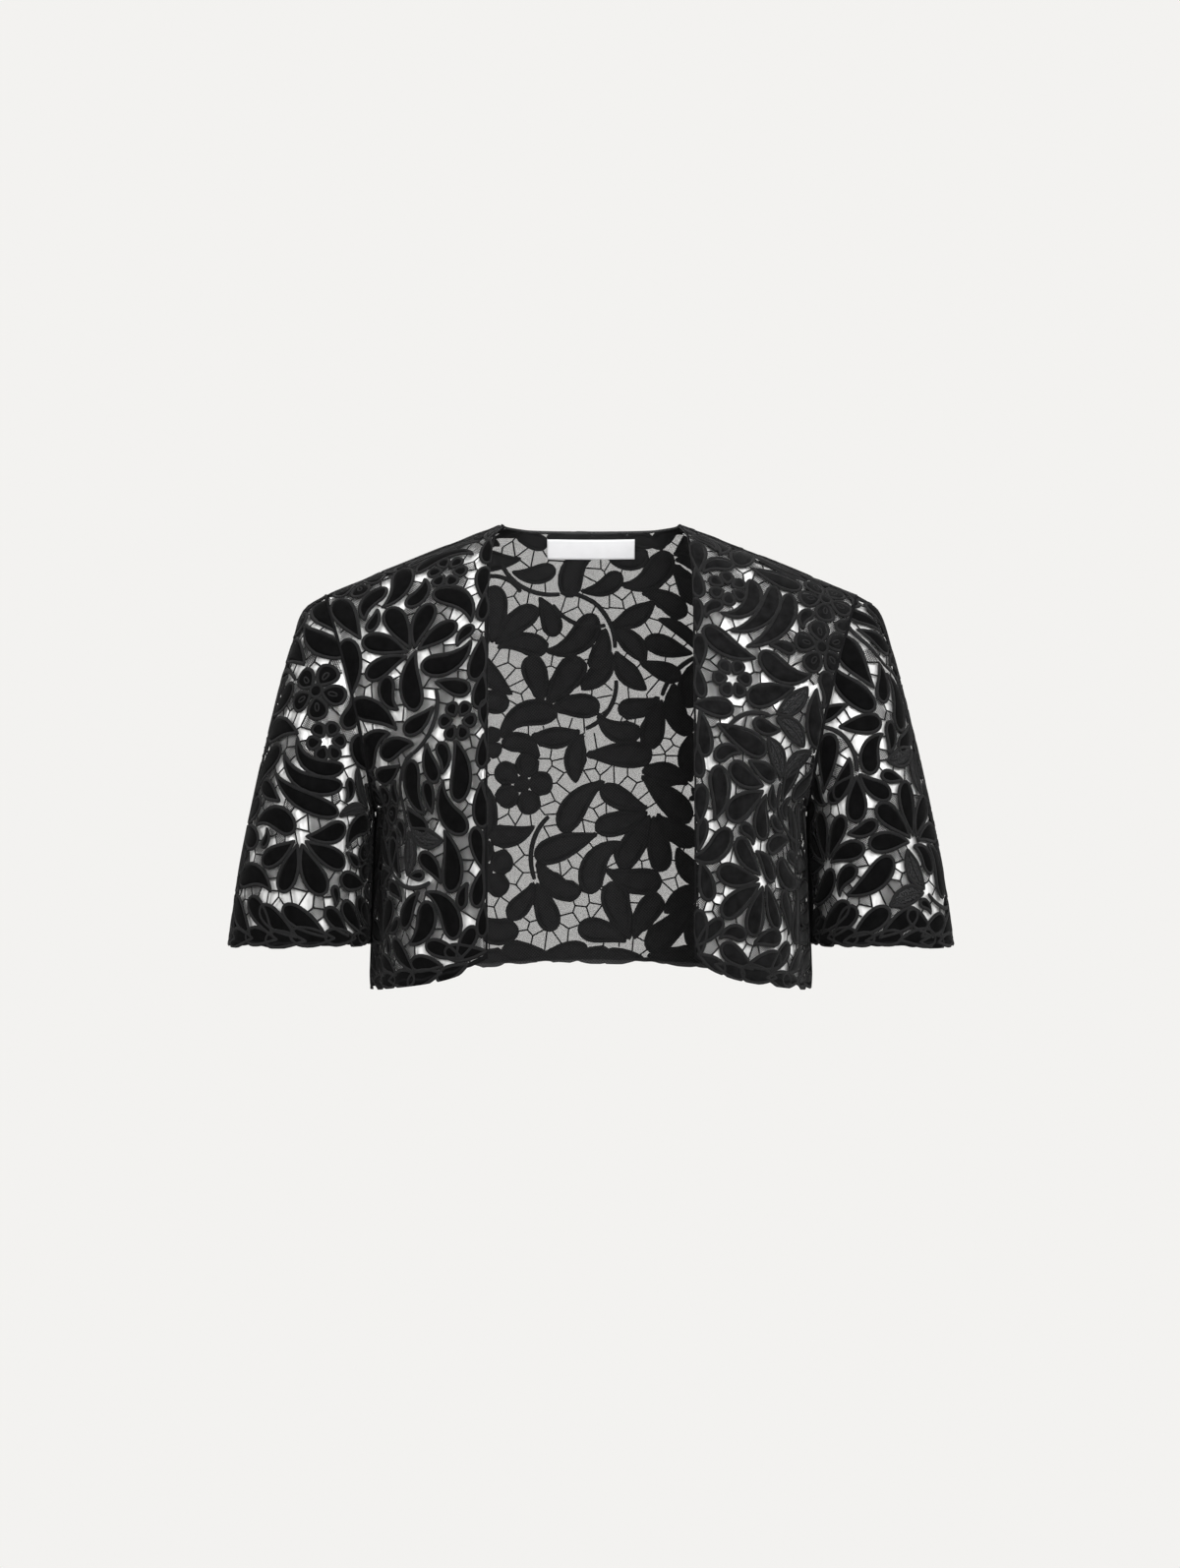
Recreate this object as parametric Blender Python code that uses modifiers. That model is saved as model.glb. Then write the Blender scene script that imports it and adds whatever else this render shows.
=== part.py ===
"""Lace bolero: an open-fronted, collarless cropped jacket with short set-in sleeves.

The cloth keeps the hollow form that it has when it is worn. Each lace panel is a thin wall lofted through
sections, a pale underlay lies inside the fronts and the sleeves, and a bare label lies inside the back neck.
Metres, +Z up, the front faces -Y, and the origin is midway between the two neck ends of the shoulder seams.
"""

import bmesh
import bpy
import numpy as np

# Driving sizes of the garment
NECK_HALF_WIDTH = 0.065
NECK_DEPTH = 0.070
NECK_ROUNDNESS = 0.77
SHOULDER_HALF_WIDTH = 0.196
SHOULDER_DROP = 0.0515
UNDERARM_X = 0.1585
UNDERARM_Z = -0.212
SIDE_HEM_X = 0.163
SIDE_HEM_Z = -0.343
ARMHOLE_FRONT_DEPTH = 0.057
ARMHOLE_BACK_DEPTH = 0.060
ARMHOLE_BOW = 0.005

# How much lower each front's hem hangs beside its front edge, and the share of the height where that ends
HEM_DROP = 0.0055
HEM_DROP_ENDS = 0.250
HEM_DROP_PEAK = 0.08192

# Cloth
LACE_THICKNESS = 0.0020
UNDERLAY_THICKNESS = 0.0010
LABEL_THICKNESS = 0.0010
LAYER_GAP = 0.0006
LABEL_GAP = 0.0016
MERGE_DISTANCE = 0.00005
NORMAL_STEP = 0.0001

# How far pieces stop short of their seams, as shares of the panel
SIDE_INSET = 0.0030
SHOULDER_INSET = 0.0020
UNDERARM_INSET = 0.0006
UNDERLAY_INSET = 0.0120

# Bare label inside the back neck
LABEL_WIDTH = 0.0680
LABEL_TOP_Z = -0.0055
LABEL_BOTTOM_Z = -0.0202

# Shares of a panel's height, from the hem at 0 to the shoulder seam at 1
UNDERARM_SHARE = 0.372
BACK_NECK_SHARE = 0.900

# Facets: columns across each panel, and rows of facets between the named heights
FRONT_COLUMNS = 9
BACK_HALF_COLUMNS = 11
SLEEVE_COLUMNS = 24
LABEL_HALF_COLUMNS = 6
LABEL_ROWS = 3
LABEL_SHARE = 0.870
LABEL_STEPS = 40
LABEL_DAMPING = 0.4
ROWS_BELOW_UNDERARM = 5
ROWS_TO_BACK_NECK = 8
ROWS_OF_NECKLINE = 4
SLEEVE_HEAD_SHARE = 0.20
SLEEVE_HEAD_ROWS = 4
SLEEVE_LENGTH_ROWS = 5

# Front edge from the hem up to the neck end of the shoulder seam, and how its row of cloth bends:
# the corner columns place the row's bend between its two ends, and pull is how far the cloth follows it
FRONT_ROWS = np.array([
    # share, edge_x, edge_y, edge_z, corner_x, corner_y, corner_z, pull
    (0.000, 0.0740, -0.1100, -0.3175, 1.00, 0.30, 1.15, 0.80),
    (0.190, 0.0740, -0.1140, -0.2600, 1.00, 0.28, 0.90, 0.80),
    (0.372, 0.0740, -0.1165, -0.2020, 0.98, 0.26, 0.65, 0.80),
    (0.540, 0.0740, -0.1060, -0.1430, 0.80, 0.30, 0.55, 0.85),
    (0.700, 0.0740, -0.0830, -0.0880, 0.66, 0.36, 0.51, 0.90),
    (0.830, 0.0738, -0.0560, -0.0400, 0.58, 0.42, 0.50, 0.95),
    (0.930, 0.0705, -0.0270, -0.0085, 0.52, 0.48, 0.50, 1.00),
    (1.000, 0.0650, 0.0000, 0.0000, 0.50, 0.50, 0.50, 1.00),
])

# Centre back from the hem up to the neck, with the same columns; above it the edge follows the neckline
BACK_ROWS = np.array([
    # share, edge_x, edge_y, edge_z, corner_x, corner_y, corner_z, pull
    (0.000, 0.0, 0.0920, -0.3290, 0.98, 0.00, 0.10, 0.75),
    (0.190, 0.0, 0.0985, -0.2700, 0.98, 0.00, 0.25, 0.75),
    (0.372, 0.0, 0.1050, -0.2080, 0.95, 0.02, 0.40, 0.78),
    (0.540, 0.0, 0.1075, -0.1500, 0.82, 0.08, 0.42, 0.82),
    (0.700, 0.0, 0.1010, -0.0940, 0.68, 0.16, 0.38, 0.88),
    (0.800, 0.0, 0.0890, -0.0500, 0.60, 0.24, 0.30, 0.92),
    (0.900, 0.0, 0.0700, 0.0000, 0.54, 0.34, 0.24, 0.96),
    (1.000, 0.0, 0.0700, 0.0000, 0.50, 0.50, 0.50, 1.00),
])

# Rings of the sleeve from the armhole at 0 to the cuff at 1: outer point, underarm point, depths, inward bow
SLEEVE_RINGS = np.array([
    # share, over_x, over_z, under_x, under_z, front_depth, back_depth, bow
    (0.00, 0.1972, -0.0521, 0.1612, -0.2105, 0.0570, 0.0600, 0.0050),
    (0.08, 0.2115, -0.0615, 0.1615, -0.2190, 0.0598, 0.0622, 0.0035),
    (0.20, 0.2230, -0.0930, 0.1619, -0.2300, 0.0635, 0.0650, 0.0015),
    (0.40, 0.2375, -0.1480, 0.1626, -0.2490, 0.0655, 0.0665, 0.0000),
    (0.60, 0.2500, -0.2020, 0.1633, -0.2690, 0.0660, 0.0665, 0.0000),
    (0.80, 0.2608, -0.2560, 0.1640, -0.2890, 0.0660, 0.0660, 0.0000),
    (1.00, 0.2690, -0.3120, 0.1647, -0.3110, 0.0650, 0.0650, 0.0000),
])

# Soft folds: where each lies on its panel, its half sizes as shares of the panel, and how far it stands out
FRONT, BACK, SLEEVE = 0, 1, 2
FOLDS = np.array([
    # panel, across, up, half_across, half_up, height
    (FRONT, 0.80, 0.10, 0.16, 0.45, -0.0030),
    (FRONT, 0.42, 0.05, 0.20, 0.40, 0.0025),
    (BACK, 0.45, 0.05, 0.18, 0.35, -0.0030),
    (BACK, 0.75, 0.10, 0.16, 0.40, 0.0025),
    (SLEEVE, 0.20, 0.75, 0.09, 0.55, 0.0035),
    (SLEEVE, 0.34, 0.85, 0.08, 0.45, -0.0030),
    (SLEEVE, 0.66, 0.85, 0.09, 0.45, -0.0030),
    (SLEEVE, 0.80, 0.70, 0.09, 0.55, 0.0030),
])

# Finishes: colour, roughness, metallic
LACE_FINISH = ((0.010, 0.010, 0.011, 1.0), 0.90, 0.0)
UNDERLAY_FINISH = ((0.80, 0.80, 0.79, 1.0), 0.45, 0.0)
LABEL_FINISH = ((0.86, 0.86, 0.87, 1.0), 0.60, 0.0)


def smooth(table, at):
    """The table's columns read at shares `at` on a smooth curve through its rows; the first column is the share."""
    share, values = table[:, 0], table[:, 1:]
    slope = np.gradient(values, share, axis=0)
    at = np.clip(np.asarray(at, float), share[0], share[-1])
    low = np.clip(np.searchsorted(share, at, side="right") - 1, 0, len(share) - 2)
    step = (share[low + 1] - share[low])[..., None]
    t = (at[..., None] - share[low][..., None]) / step
    return (
        (1 + 2 * t) * (1 - t) ** 2 * values[low]
        + t * (1 - t) ** 2 * step * slope[low]
        + t * t * (3 - 2 * t) * values[low + 1]
        - t * t * (1 - t) * step * slope[low + 1]
    )


def fold_height(panel, across, up):
    """How far the panel's folds stand out at each place: a sum of soft bumps."""
    height = np.zeros(np.broadcast(across, up).shape)
    for row in FOLDS[FOLDS[:, 0] == panel]:
        _, fold_across, fold_up, half_across, half_up, fold = row
        off = ((across - fold_across) / half_across) ** 2 + ((up - fold_up) / half_up) ** 2
        height += fold * np.clip(1 - off, 0, None) ** 2
    return height


def outer_edge(share, depth_sign):
    """Side seam up to the underarm, then half of the armhole, a bowed ellipse, up to the shoulder tip."""
    tip = np.array([SHOULDER_HALF_WIDTH, 0.0, -SHOULDER_DROP])
    underarm = np.array([UNDERARM_X, 0.0, UNDERARM_Z])
    hem = np.array([SIDE_HEM_X, 0.0, SIDE_HEM_Z])
    depth = ARMHOLE_FRONT_DEPTH if depth_sign < 0 else ARMHOLE_BACK_DEPTH
    side = hem + np.clip(share / UNDERARM_SHARE, 0, 1)[..., None] * (underarm - hem)
    angle = np.pi * np.clip((share - UNDERARM_SHARE) / (1 - UNDERARM_SHARE), 0, 1)[..., None]
    armhole = (tip + underarm) / 2 - np.cos(angle) * (tip - underarm) / 2
    armhole = armhole + np.sin(angle) * np.array([0.0, depth_sign * depth, 0.0])
    armhole = armhole - np.sin(angle) ** 2 * np.array([ARMHOLE_BOW, 0.0, 0.0])
    return np.where((share < UNDERARM_SHARE)[..., None], side, armhole)


def inner_edge(rows, share):
    """Front edge, or centre back and then the round of the neckline."""
    edge = smooth(rows, share)[..., :3]
    if rows is FRONT_ROWS:
        return edge
    turn = np.pi / 2 * np.clip((share - BACK_NECK_SHARE) / (1 - BACK_NECK_SHARE), 0, 1)
    width = NECK_HALF_WIDTH * np.sin(turn) ** NECK_ROUNDNESS
    neckline = np.stack([width, NECK_DEPTH * np.cos(turn) ** NECK_ROUNDNESS, 0 * turn], -1)
    return np.where((share < BACK_NECK_SHARE)[..., None], edge, neckline)


def body_point(rows, across, up):
    """A body panel: each row of cloth is a conic from the inner edge, round a corner, to the outer edge."""
    start = inner_edge(rows, up)
    end = outer_edge(up, -1 if rows is FRONT_ROWS else 1)
    bend, pull = smooth(rows, up)[..., 3:6], smooth(rows, up)[..., 6]
    corner = start + bend * (end - start)
    a = across[..., None]
    weights = (1 - a) ** 2, 2 * a * (1 - a) * pull[..., None], a * a
    return (weights[0] * start + weights[1] * corner + weights[2] * end) / sum(weights)


def sleeve_point(around, down):
    """The sleeve: each ring is a bowed ellipse through its outer and underarm points; 0 and 1 meet under the arm."""
    ring = np.moveaxis(smooth(SLEEVE_RINGS, down), -1, 0)
    over_x, over_z, under_x, under_z, front_depth, back_depth, bow = ring
    turn = 2 * np.pi * around
    high = (1 - np.cos(turn)) / 2
    depth = np.where(np.sin(turn) > 0, front_depth, back_depth)
    x = under_x + high * (over_x - under_x) - bow * np.sin(turn) ** 2
    return np.stack([x, -depth * np.sin(turn), under_z + high * (over_z - under_z)], -1)


def front_surface(across, up):
    """The wearer's left front; across runs from the front edge to the side.

    Its hem hangs lower by a swell of across times (1 - across) to the fourth, which is 1 at its peak.
    """
    place = body_point(FRONT_ROWS, across, up)
    swell = across * (1 - across) ** 4 / HEM_DROP_PEAK
    place[..., 2] -= HEM_DROP * swell * np.clip(1 - up / HEM_DROP_ENDS, 0, None) ** 2
    return place, FRONT


def back_surface(across, up):
    """The wearer's left half of the back; across runs from the side to the centre back."""
    return body_point(BACK_ROWS, 1 - across, up), BACK


def sleeve_surface(around, down):
    """The wearer's left sleeve."""
    return sleeve_point(1 - around, down), SLEEVE


def normals_of(surface, across, up):
    """Outward normals of a surface, from small steps in both directions."""
    along = surface(across + NORMAL_STEP, up)[0] - surface(across - NORMAL_STEP, up)[0]
    rise = surface(across, up + NORMAL_STEP)[0] - surface(across, up - NORMAL_STEP)[0]
    normal = np.cross(along, rise)
    return normal / np.linalg.norm(normal, axis=-1, keepdims=True)


def points_of(surface, across, up, out):
    """Places on a surface with its folds, moved out by `out` metres."""
    place, panel = surface(across, up)
    fold = fold_height(panel, across, up)
    return place + (fold + out)[..., None] * normals_of(surface, across, up)


def shares_on_back(x, z):
    """The shares of the back panel at given x and z near its neck, by damped Newton steps."""
    across = 1 - x / SHOULDER_HALF_WIDTH
    up = np.full(x.shape, LABEL_SHARE)
    for _ in range(LABEL_STEPS):
        place = back_surface(across, up)[0]
        by_across = (back_surface(across + NORMAL_STEP, up)[0] - place) / NORMAL_STEP
        by_up = (back_surface(across, up + NORMAL_STEP)[0] - place) / NORMAL_STEP
        miss_x, miss_z = x - place[..., 0], z - place[..., 2]
        area = by_across[..., 0] * by_up[..., 2] - by_up[..., 0] * by_across[..., 2]
        across = across + LABEL_DAMPING * (miss_x * by_up[..., 2] - miss_z * by_up[..., 0]) / area
        up = up + LABEL_DAMPING * (miss_z * by_across[..., 0] - miss_x * by_across[..., 2]) / area
    return across, up


def material(name, finish):
    """A plain cloth material of one colour, roughness and metallic value."""
    colour, roughness, metallic = finish
    made = bpy.data.materials.new(name)
    made.use_nodes = True
    shader = made.node_tree.nodes["Principled BSDF"]
    shader.inputs["Base Color"].default_value = colour
    shader.inputs["Roughness"].default_value = roughness
    shader.inputs["Metallic"].default_value = metallic
    made.diffuse_color = colour
    return made


def stops(*runs):
    """Shares along a panel: each run is (end, steps), and the next one goes on from there."""
    shares = [0.0]
    for end, steps in runs:
        shares.extend(np.linspace(shares[-1], end, steps + 1)[1:])
    return np.array(shares)


def wall(name, places, thickness, finish, flip=False, mirrored=False):
    """A grid of places, rows by columns, as a sheet with its thickness half in and half out.

    flip makes the wearer's right-hand piece; mirrored joins the half to its mirror image at the centre.
    """
    rows, columns = places.shape[:2]
    shape = bmesh.new()
    bmesh.ops.create_grid(shape, x_segments=columns - 1, y_segments=rows - 1, size=0.5)
    if flip:
        places = places * np.array([-1.0, 1.0, 1.0])
        bmesh.ops.reverse_faces(shape, faces=shape.faces)
    for vertex in shape.verts:
        column = round((vertex.co.x + 0.5) * (columns - 1))
        row = round((vertex.co.y + 0.5) * (rows - 1))
        vertex.co = places[row, column]
    mesh = bpy.data.meshes.new(name)
    shape.to_mesh(mesh)
    shape.free()
    mesh.materials.append(finish)
    mesh.shade_smooth()
    made = bpy.data.objects.new(name, mesh)
    bolero.objects.link(made)
    if mirrored:
        half = made.modifiers.new("other half", "MIRROR")
        half.merge_threshold = MERGE_DISTANCE
    cloth = made.modifiers.new("cloth", "SOLIDIFY")
    cloth.thickness = thickness
    cloth.offset = 0.0
    cloth.use_even_offset = True


def pair(name, places, thickness, finish):
    """The wearer's left piece and its mirror image on the right."""
    wall(name.format("left"), places, thickness, finish)
    wall(name.format("right"), places, thickness, finish, flip=True)


for old in list(bpy.data.objects):
    bpy.data.objects.remove(old)
bolero = bpy.data.collections.new("lace_bolero")
bpy.context.scene.collection.children.link(bolero)

lace = material("black_velvet_lace", LACE_FINISH)
pale = material("pale_underlay", UNDERLAY_FINISH)
bare = material("bare_label", LABEL_FINISH)

body_rows = stops(
    (UNDERLAY_INSET, 1),
    (UNDERARM_SHARE, ROWS_BELOW_UNDERARM),
    (BACK_NECK_SHARE, ROWS_TO_BACK_NECK),
    (1 - UNDERLAY_INSET, ROWS_OF_NECKLINE),
    (1 - SHOULDER_INSET, 1),
)
underlay_depth = LACE_THICKNESS / 2 + LAYER_GAP + UNDERLAY_THICKNESS / 2
label_depth = LACE_THICKNESS / 2 + LABEL_GAP + LABEL_THICKNESS / 2

# Fronts, and the underlay inside them, on the same grid but for its outermost lines
front_columns = stops((UNDERLAY_INSET, 1), (1 - UNDERLAY_INSET, FRONT_COLUMNS), (1 - SIDE_INSET, 1))
across, up = np.meshgrid(front_columns, body_rows)
pair("front_{}", points_of(front_surface, across, up, 0.0), LACE_THICKNESS, lace)
inside = points_of(front_surface, across, up, -underlay_depth)[1:-1, 1:-1]
pair("front_{}_underlay", inside, UNDERLAY_THICKNESS, pale)

# Back, cut in one, and the label inside its neck
across, up = np.meshgrid(np.linspace(SIDE_INSET, 1, BACK_HALF_COLUMNS + 1), body_rows)
half_back = points_of(back_surface, across, up, 0.0)
half_back[body_rows <= BACK_NECK_SHARE, -1, 0] = 0.0
wall("back", half_back, LACE_THICKNESS, lace, mirrored=True)
label_x = np.linspace(LABEL_WIDTH / 2, 0, LABEL_HALF_COLUMNS + 1)
label_z = np.linspace(LABEL_BOTTOM_Z, LABEL_TOP_Z, LABEL_ROWS + 1)
across, up = shares_on_back(*np.meshgrid(label_x, label_z))
half_label = points_of(back_surface, across, up, -label_depth)
half_label[:, -1, 0] = 0.0
wall("label", half_label, LABEL_THICKNESS, bare, mirrored=True)

# Sleeves, and the underlay inside them
sleeve_rows = stops(
    (UNDERLAY_INSET, 1),
    (SLEEVE_HEAD_SHARE, SLEEVE_HEAD_ROWS),
    (1 - UNDERLAY_INSET, SLEEVE_LENGTH_ROWS),
    (1.0, 1),
)
sleeve_columns = np.linspace(UNDERARM_INSET, 1 - UNDERARM_INSET, SLEEVE_COLUMNS + 1)
around, down = np.meshgrid(sleeve_columns, sleeve_rows)
pair("sleeve_{}", points_of(sleeve_surface, around, down, 0.0), LACE_THICKNESS, lace)
inside = points_of(sleeve_surface, around, down, -underlay_depth)[1:-1]
pair("sleeve_{}_underlay", inside, UNDERLAY_THICKNESS, pale)
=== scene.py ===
# %% [markdown]
# # A bolero jacket of black velvet lace
# An open-fronted, collarless, cropped jacket with short set-in sleeves. The cloth is a heavy lace:
# velvet petals, leaves and flowers, each with a corded edge, held together by thin bars and, in
# places, by black net. A pale satin underlay lies behind the fronts and the sleeves, and a bare
# white label is sewn inside the back neck.
#
# A lace could be a see-through picture on a plain sheet, but that has no thickness from the side. Here
# it is drawn flat with numpy, as real lace is made, on the paper pattern of each panel, and then laid
# on the panel's form, so that every petal, cord and bar is a small mesh.

import bpy
import numpy as np
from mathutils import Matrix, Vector
from mathutils.geometry import delaunay_2d_cdt


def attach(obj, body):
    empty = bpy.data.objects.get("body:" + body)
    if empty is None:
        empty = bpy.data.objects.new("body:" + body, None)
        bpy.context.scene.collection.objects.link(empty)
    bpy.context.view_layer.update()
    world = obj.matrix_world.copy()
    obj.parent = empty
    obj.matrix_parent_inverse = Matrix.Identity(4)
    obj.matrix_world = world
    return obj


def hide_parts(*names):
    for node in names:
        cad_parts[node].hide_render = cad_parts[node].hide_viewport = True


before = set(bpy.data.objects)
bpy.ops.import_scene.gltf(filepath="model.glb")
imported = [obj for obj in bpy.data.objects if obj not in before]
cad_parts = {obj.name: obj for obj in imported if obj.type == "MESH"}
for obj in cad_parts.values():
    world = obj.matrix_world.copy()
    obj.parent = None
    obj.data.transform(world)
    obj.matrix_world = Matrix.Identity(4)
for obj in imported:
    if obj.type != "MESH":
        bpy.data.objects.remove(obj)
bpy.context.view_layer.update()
MM = 0.001
print("CAD pieces:", sorted(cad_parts))

# %% [markdown]
# ## The form of the cloth
# Three cuts make the jacket: a front, half of the back, and a sleeve. Such a form could be pulled out
# of a mesh by hand, or draped on a figure by a cloth simulation. Here each cut is a surface of two
# shares, one across the panel and one up it, through the same sections as the solid walls: the lace
# then lies where the solids are, and every place on a panel has an address. A body row is a conic from
# the front edge or the centre back, round a corner, to the side seam and the armhole; a sleeve ring is
# a bowed ellipse.

# %% sizes and sections, in metres and in shares of a panel
NECK_HALF_WIDTH = 0.065
NECK_DEPTH = 0.070
NECK_ROUNDNESS = 0.77
SHOULDER_TIP = np.array([0.196, 0.0, -0.0515])
UNDERARM = np.array([0.1585, 0.0, -0.212])
SIDE_HEM = np.array([0.163, 0.0, -0.343])
ARMHOLE_DEPTH = {"front": -0.057, "back": 0.060}
ARMHOLE_BOW = 0.005
UNDERARM_SHARE = 0.372
# A front's hem hangs lower: by how much, up to which share, and the peak of the swell's formula
HEM_DROP = 0.0055
HEM_DROP_ENDS = 0.25
HEM_DROP_PEAK = 0.08192
BODY_ROWS = {
    # share, edge_x, edge_y, edge_z, corner_x, corner_y, corner_z, pull
    "front": np.array([
        (0.000, 0.0740, -0.1100, -0.3175, 1.00, 0.30, 1.15, 0.80),
        (0.190, 0.0740, -0.1140, -0.2600, 1.00, 0.28, 0.90, 0.80),
        (0.372, 0.0740, -0.1165, -0.2020, 0.98, 0.26, 0.65, 0.80),
        (0.540, 0.0740, -0.1060, -0.1430, 0.80, 0.30, 0.55, 0.85),
        (0.700, 0.0740, -0.0830, -0.0880, 0.66, 0.36, 0.51, 0.90),
        (0.830, 0.0738, -0.0560, -0.0400, 0.58, 0.42, 0.50, 0.95),
        (0.930, 0.0705, -0.0270, -0.0085, 0.52, 0.48, 0.50, 1.00),
        (1.000, 0.0650, 0.0000, 0.0000, 0.50, 0.50, 0.50, 1.00),
    ]),
    "back": np.array([
        (0.000, 0.0, 0.0920, -0.3290, 0.98, 0.00, 0.10, 0.75),
        (0.190, 0.0, 0.0985, -0.2700, 0.98, 0.00, 0.25, 0.75),
        (0.372, 0.0, 0.1050, -0.2080, 0.95, 0.02, 0.40, 0.78),
        (0.540, 0.0, 0.1075, -0.1500, 0.82, 0.08, 0.42, 0.82),
        (0.700, 0.0, 0.1010, -0.0940, 0.68, 0.16, 0.38, 0.88),
        (0.800, 0.0, 0.0890, -0.0500, 0.60, 0.24, 0.30, 0.92),
        (0.900, 0.0, 0.0700, 0.0000, 0.54, 0.34, 0.24, 0.96),
        (1.000, 0.0, 0.0700, 0.0000, 0.50, 0.50, 0.50, 1.00),
    ]),
}


# %% curves through the sections
def cubic(t, start, end, leave, arrive):
    """A cubic curve from start to end, which leaves and arrives along two slopes."""
    return ((1 + 2 * t) * (1 - t) ** 2 * start + t * (1 - t) ** 2 * leave
            + t * t * (3 - 2 * t) * end - t * t * (1 - t) * arrive)


def smooth(table, at):
    """The table's columns at shares `at`, on cubic curves through its rows."""
    share, values = table[:, 0], table[:, 1:]
    slope = np.gradient(values, share, axis=0)
    at = np.clip(at, share[0], share[-1])
    low = np.clip(np.searchsorted(share, at, side="right") - 1, 0, len(share) - 2)
    step = (share[low + 1] - share[low])[..., None]
    t = (at[..., None] - share[low][..., None]) / step
    return cubic(t, values[low], values[low + 1], step * slope[low], step * slope[low + 1])


def armhole_side(cut, share):
    """Side seam up to the underarm, then half of the armhole, a bowed ellipse, to the shoulder tip."""
    side = SIDE_HEM + np.clip(share / UNDERARM_SHARE, 0, 1)[..., None] * (UNDERARM - SIDE_HEM)
    angle = np.pi * np.clip((share - UNDERARM_SHARE) / (1 - UNDERARM_SHARE), 0, 1)[..., None]
    hole = (SHOULDER_TIP + UNDERARM) / 2 - np.cos(angle) * (SHOULDER_TIP - UNDERARM) / 2
    hole = hole + np.sin(angle) * np.array([0.0, ARMHOLE_DEPTH[cut], 0.0])
    hole = hole - np.sin(angle) ** 2 * np.array([ARMHOLE_BOW, 0.0, 0.0])
    return np.where((share < UNDERARM_SHARE)[..., None], side, hole)


def body_form(cut, across, up):
    """A front, or half of the lower back: each row is a conic from its inner edge to the side.

    A front's hem hangs lower by a swell of across times (1 - across) to the fourth, 1 at its peak.
    """
    row = smooth(BODY_ROWS[cut], up)
    start, end = row[..., :3], armhole_side(cut, up)
    corner = start + row[..., 3:6] * (end - start)
    a = across[..., None]
    weights = (1 - a) ** 2, 2 * a * (1 - a) * row[..., 6:7], a * a
    form = (weights[0] * start + weights[1] * corner + weights[2] * end) / sum(weights)
    if cut == "front":
        swell = across * (1 - across) ** 4 / HEM_DROP_PEAK
        form[..., 2] -= HEM_DROP * swell * np.clip(1 - up / HEM_DROP_ENDS, 0, None) ** 2
    return form


# %% the upper back
BACK_NECK_SHARE = 0.900
BLADE_SHARE = 0.750
NECK_REACH = 0.45
ARRIVAL = np.array([
    # share across the back; x, y and z of the way that the cloth comes up to its top edge
    (0.00, 0.000, -0.038, 0.110),
    (0.15, -0.008, -0.025, 0.066),
    (0.30, -0.044, -0.056, 0.001),
    (0.45, -0.020, -0.165, -0.032),
    (0.60, -0.050, -0.163, -0.023),
    (0.80, -0.070, -0.107, -0.006),
    (1.00, 0.000, -0.080, -0.005),
])


def back_top(across):
    """The top edge of the half back: the neckline, a superellipse, then the straight shoulder seam."""
    turn = np.pi / 2 * np.clip(across / NECK_REACH, 0, 1)
    neck_x = NECK_HALF_WIDTH * np.sin(turn) ** NECK_ROUNDNESS
    neck_y = NECK_DEPTH * np.cos(turn) ** NECK_ROUNDNESS
    along = np.clip((across - NECK_REACH) / (1 - NECK_REACH), 0, 1)[..., None]
    neck = np.stack([neck_x, neck_y, 0 * turn], -1)
    return neck + along * (SHOULDER_TIP - [NECK_HALF_WIDTH, 0.0, 0.0])


def back_form(cut, across, up):
    """Half of the back: conic rows up to the shoulder blade, then cubic curves up to the top edge."""
    row, small = BLADE_SHARE + 0 * up, 0.001
    reach = np.clip(across / NECK_REACH, 0, 1) * (1 - BACK_NECK_SHARE) + BACK_NECK_SHARE - BLADE_SHARE
    rise = body_form(cut, across, row + small) - body_form(cut, across, row - small)
    rise = rise * (reach / (2 * small))[..., None]
    t = np.clip((up - BLADE_SHARE) / (1 - BLADE_SHARE), 0, 1)[..., None]
    upper = cubic(t, body_form(cut, across, row), back_top(across), rise, smooth(ARRIVAL, across))
    lower = body_form(cut, across, np.minimum(up, BLADE_SHARE))
    return np.where((up < BLADE_SHARE)[..., None], lower, upper)


# %% the sleeve
SLEEVE_RINGS = np.array([
    # share, over_x, over_z, under_x, under_z, front_depth, back_depth, bow
    (0.00, 0.1972, -0.0521, 0.1612, -0.2105, 0.0570, 0.0600, 0.0050),
    (0.08, 0.2115, -0.0615, 0.1615, -0.2190, 0.0598, 0.0622, 0.0035),
    (0.20, 0.2230, -0.0930, 0.1619, -0.2300, 0.0635, 0.0650, 0.0015),
    (0.40, 0.2375, -0.1480, 0.1626, -0.2490, 0.0655, 0.0665, 0.0000),
    (0.60, 0.2500, -0.2020, 0.1633, -0.2690, 0.0660, 0.0665, 0.0000),
    (0.80, 0.2608, -0.2560, 0.1640, -0.2890, 0.0660, 0.0660, 0.0000),
    (1.00, 0.2690, -0.3120, 0.1647, -0.3110, 0.0650, 0.0650, 0.0000),
])


def sleeve_form(cut, around, down):
    """A sleeve: each ring is an ellipse through its outer and underarm points; 0 and 1 are below."""
    rings = np.moveaxis(smooth(SLEEVE_RINGS, down), -1, 0)
    over_x, over_z, under_x, under_z, front, back, bow = rings
    turn = 2 * np.pi * around
    high = (1 - np.cos(turn)) / 2
    depth = np.where(np.sin(turn) > 0, front, back)
    x = under_x + high * (over_x - under_x) - bow * np.sin(turn) ** 2
    return np.stack([x, -depth * np.sin(turn), under_z + high * (over_z - under_z)], -1)


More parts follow.
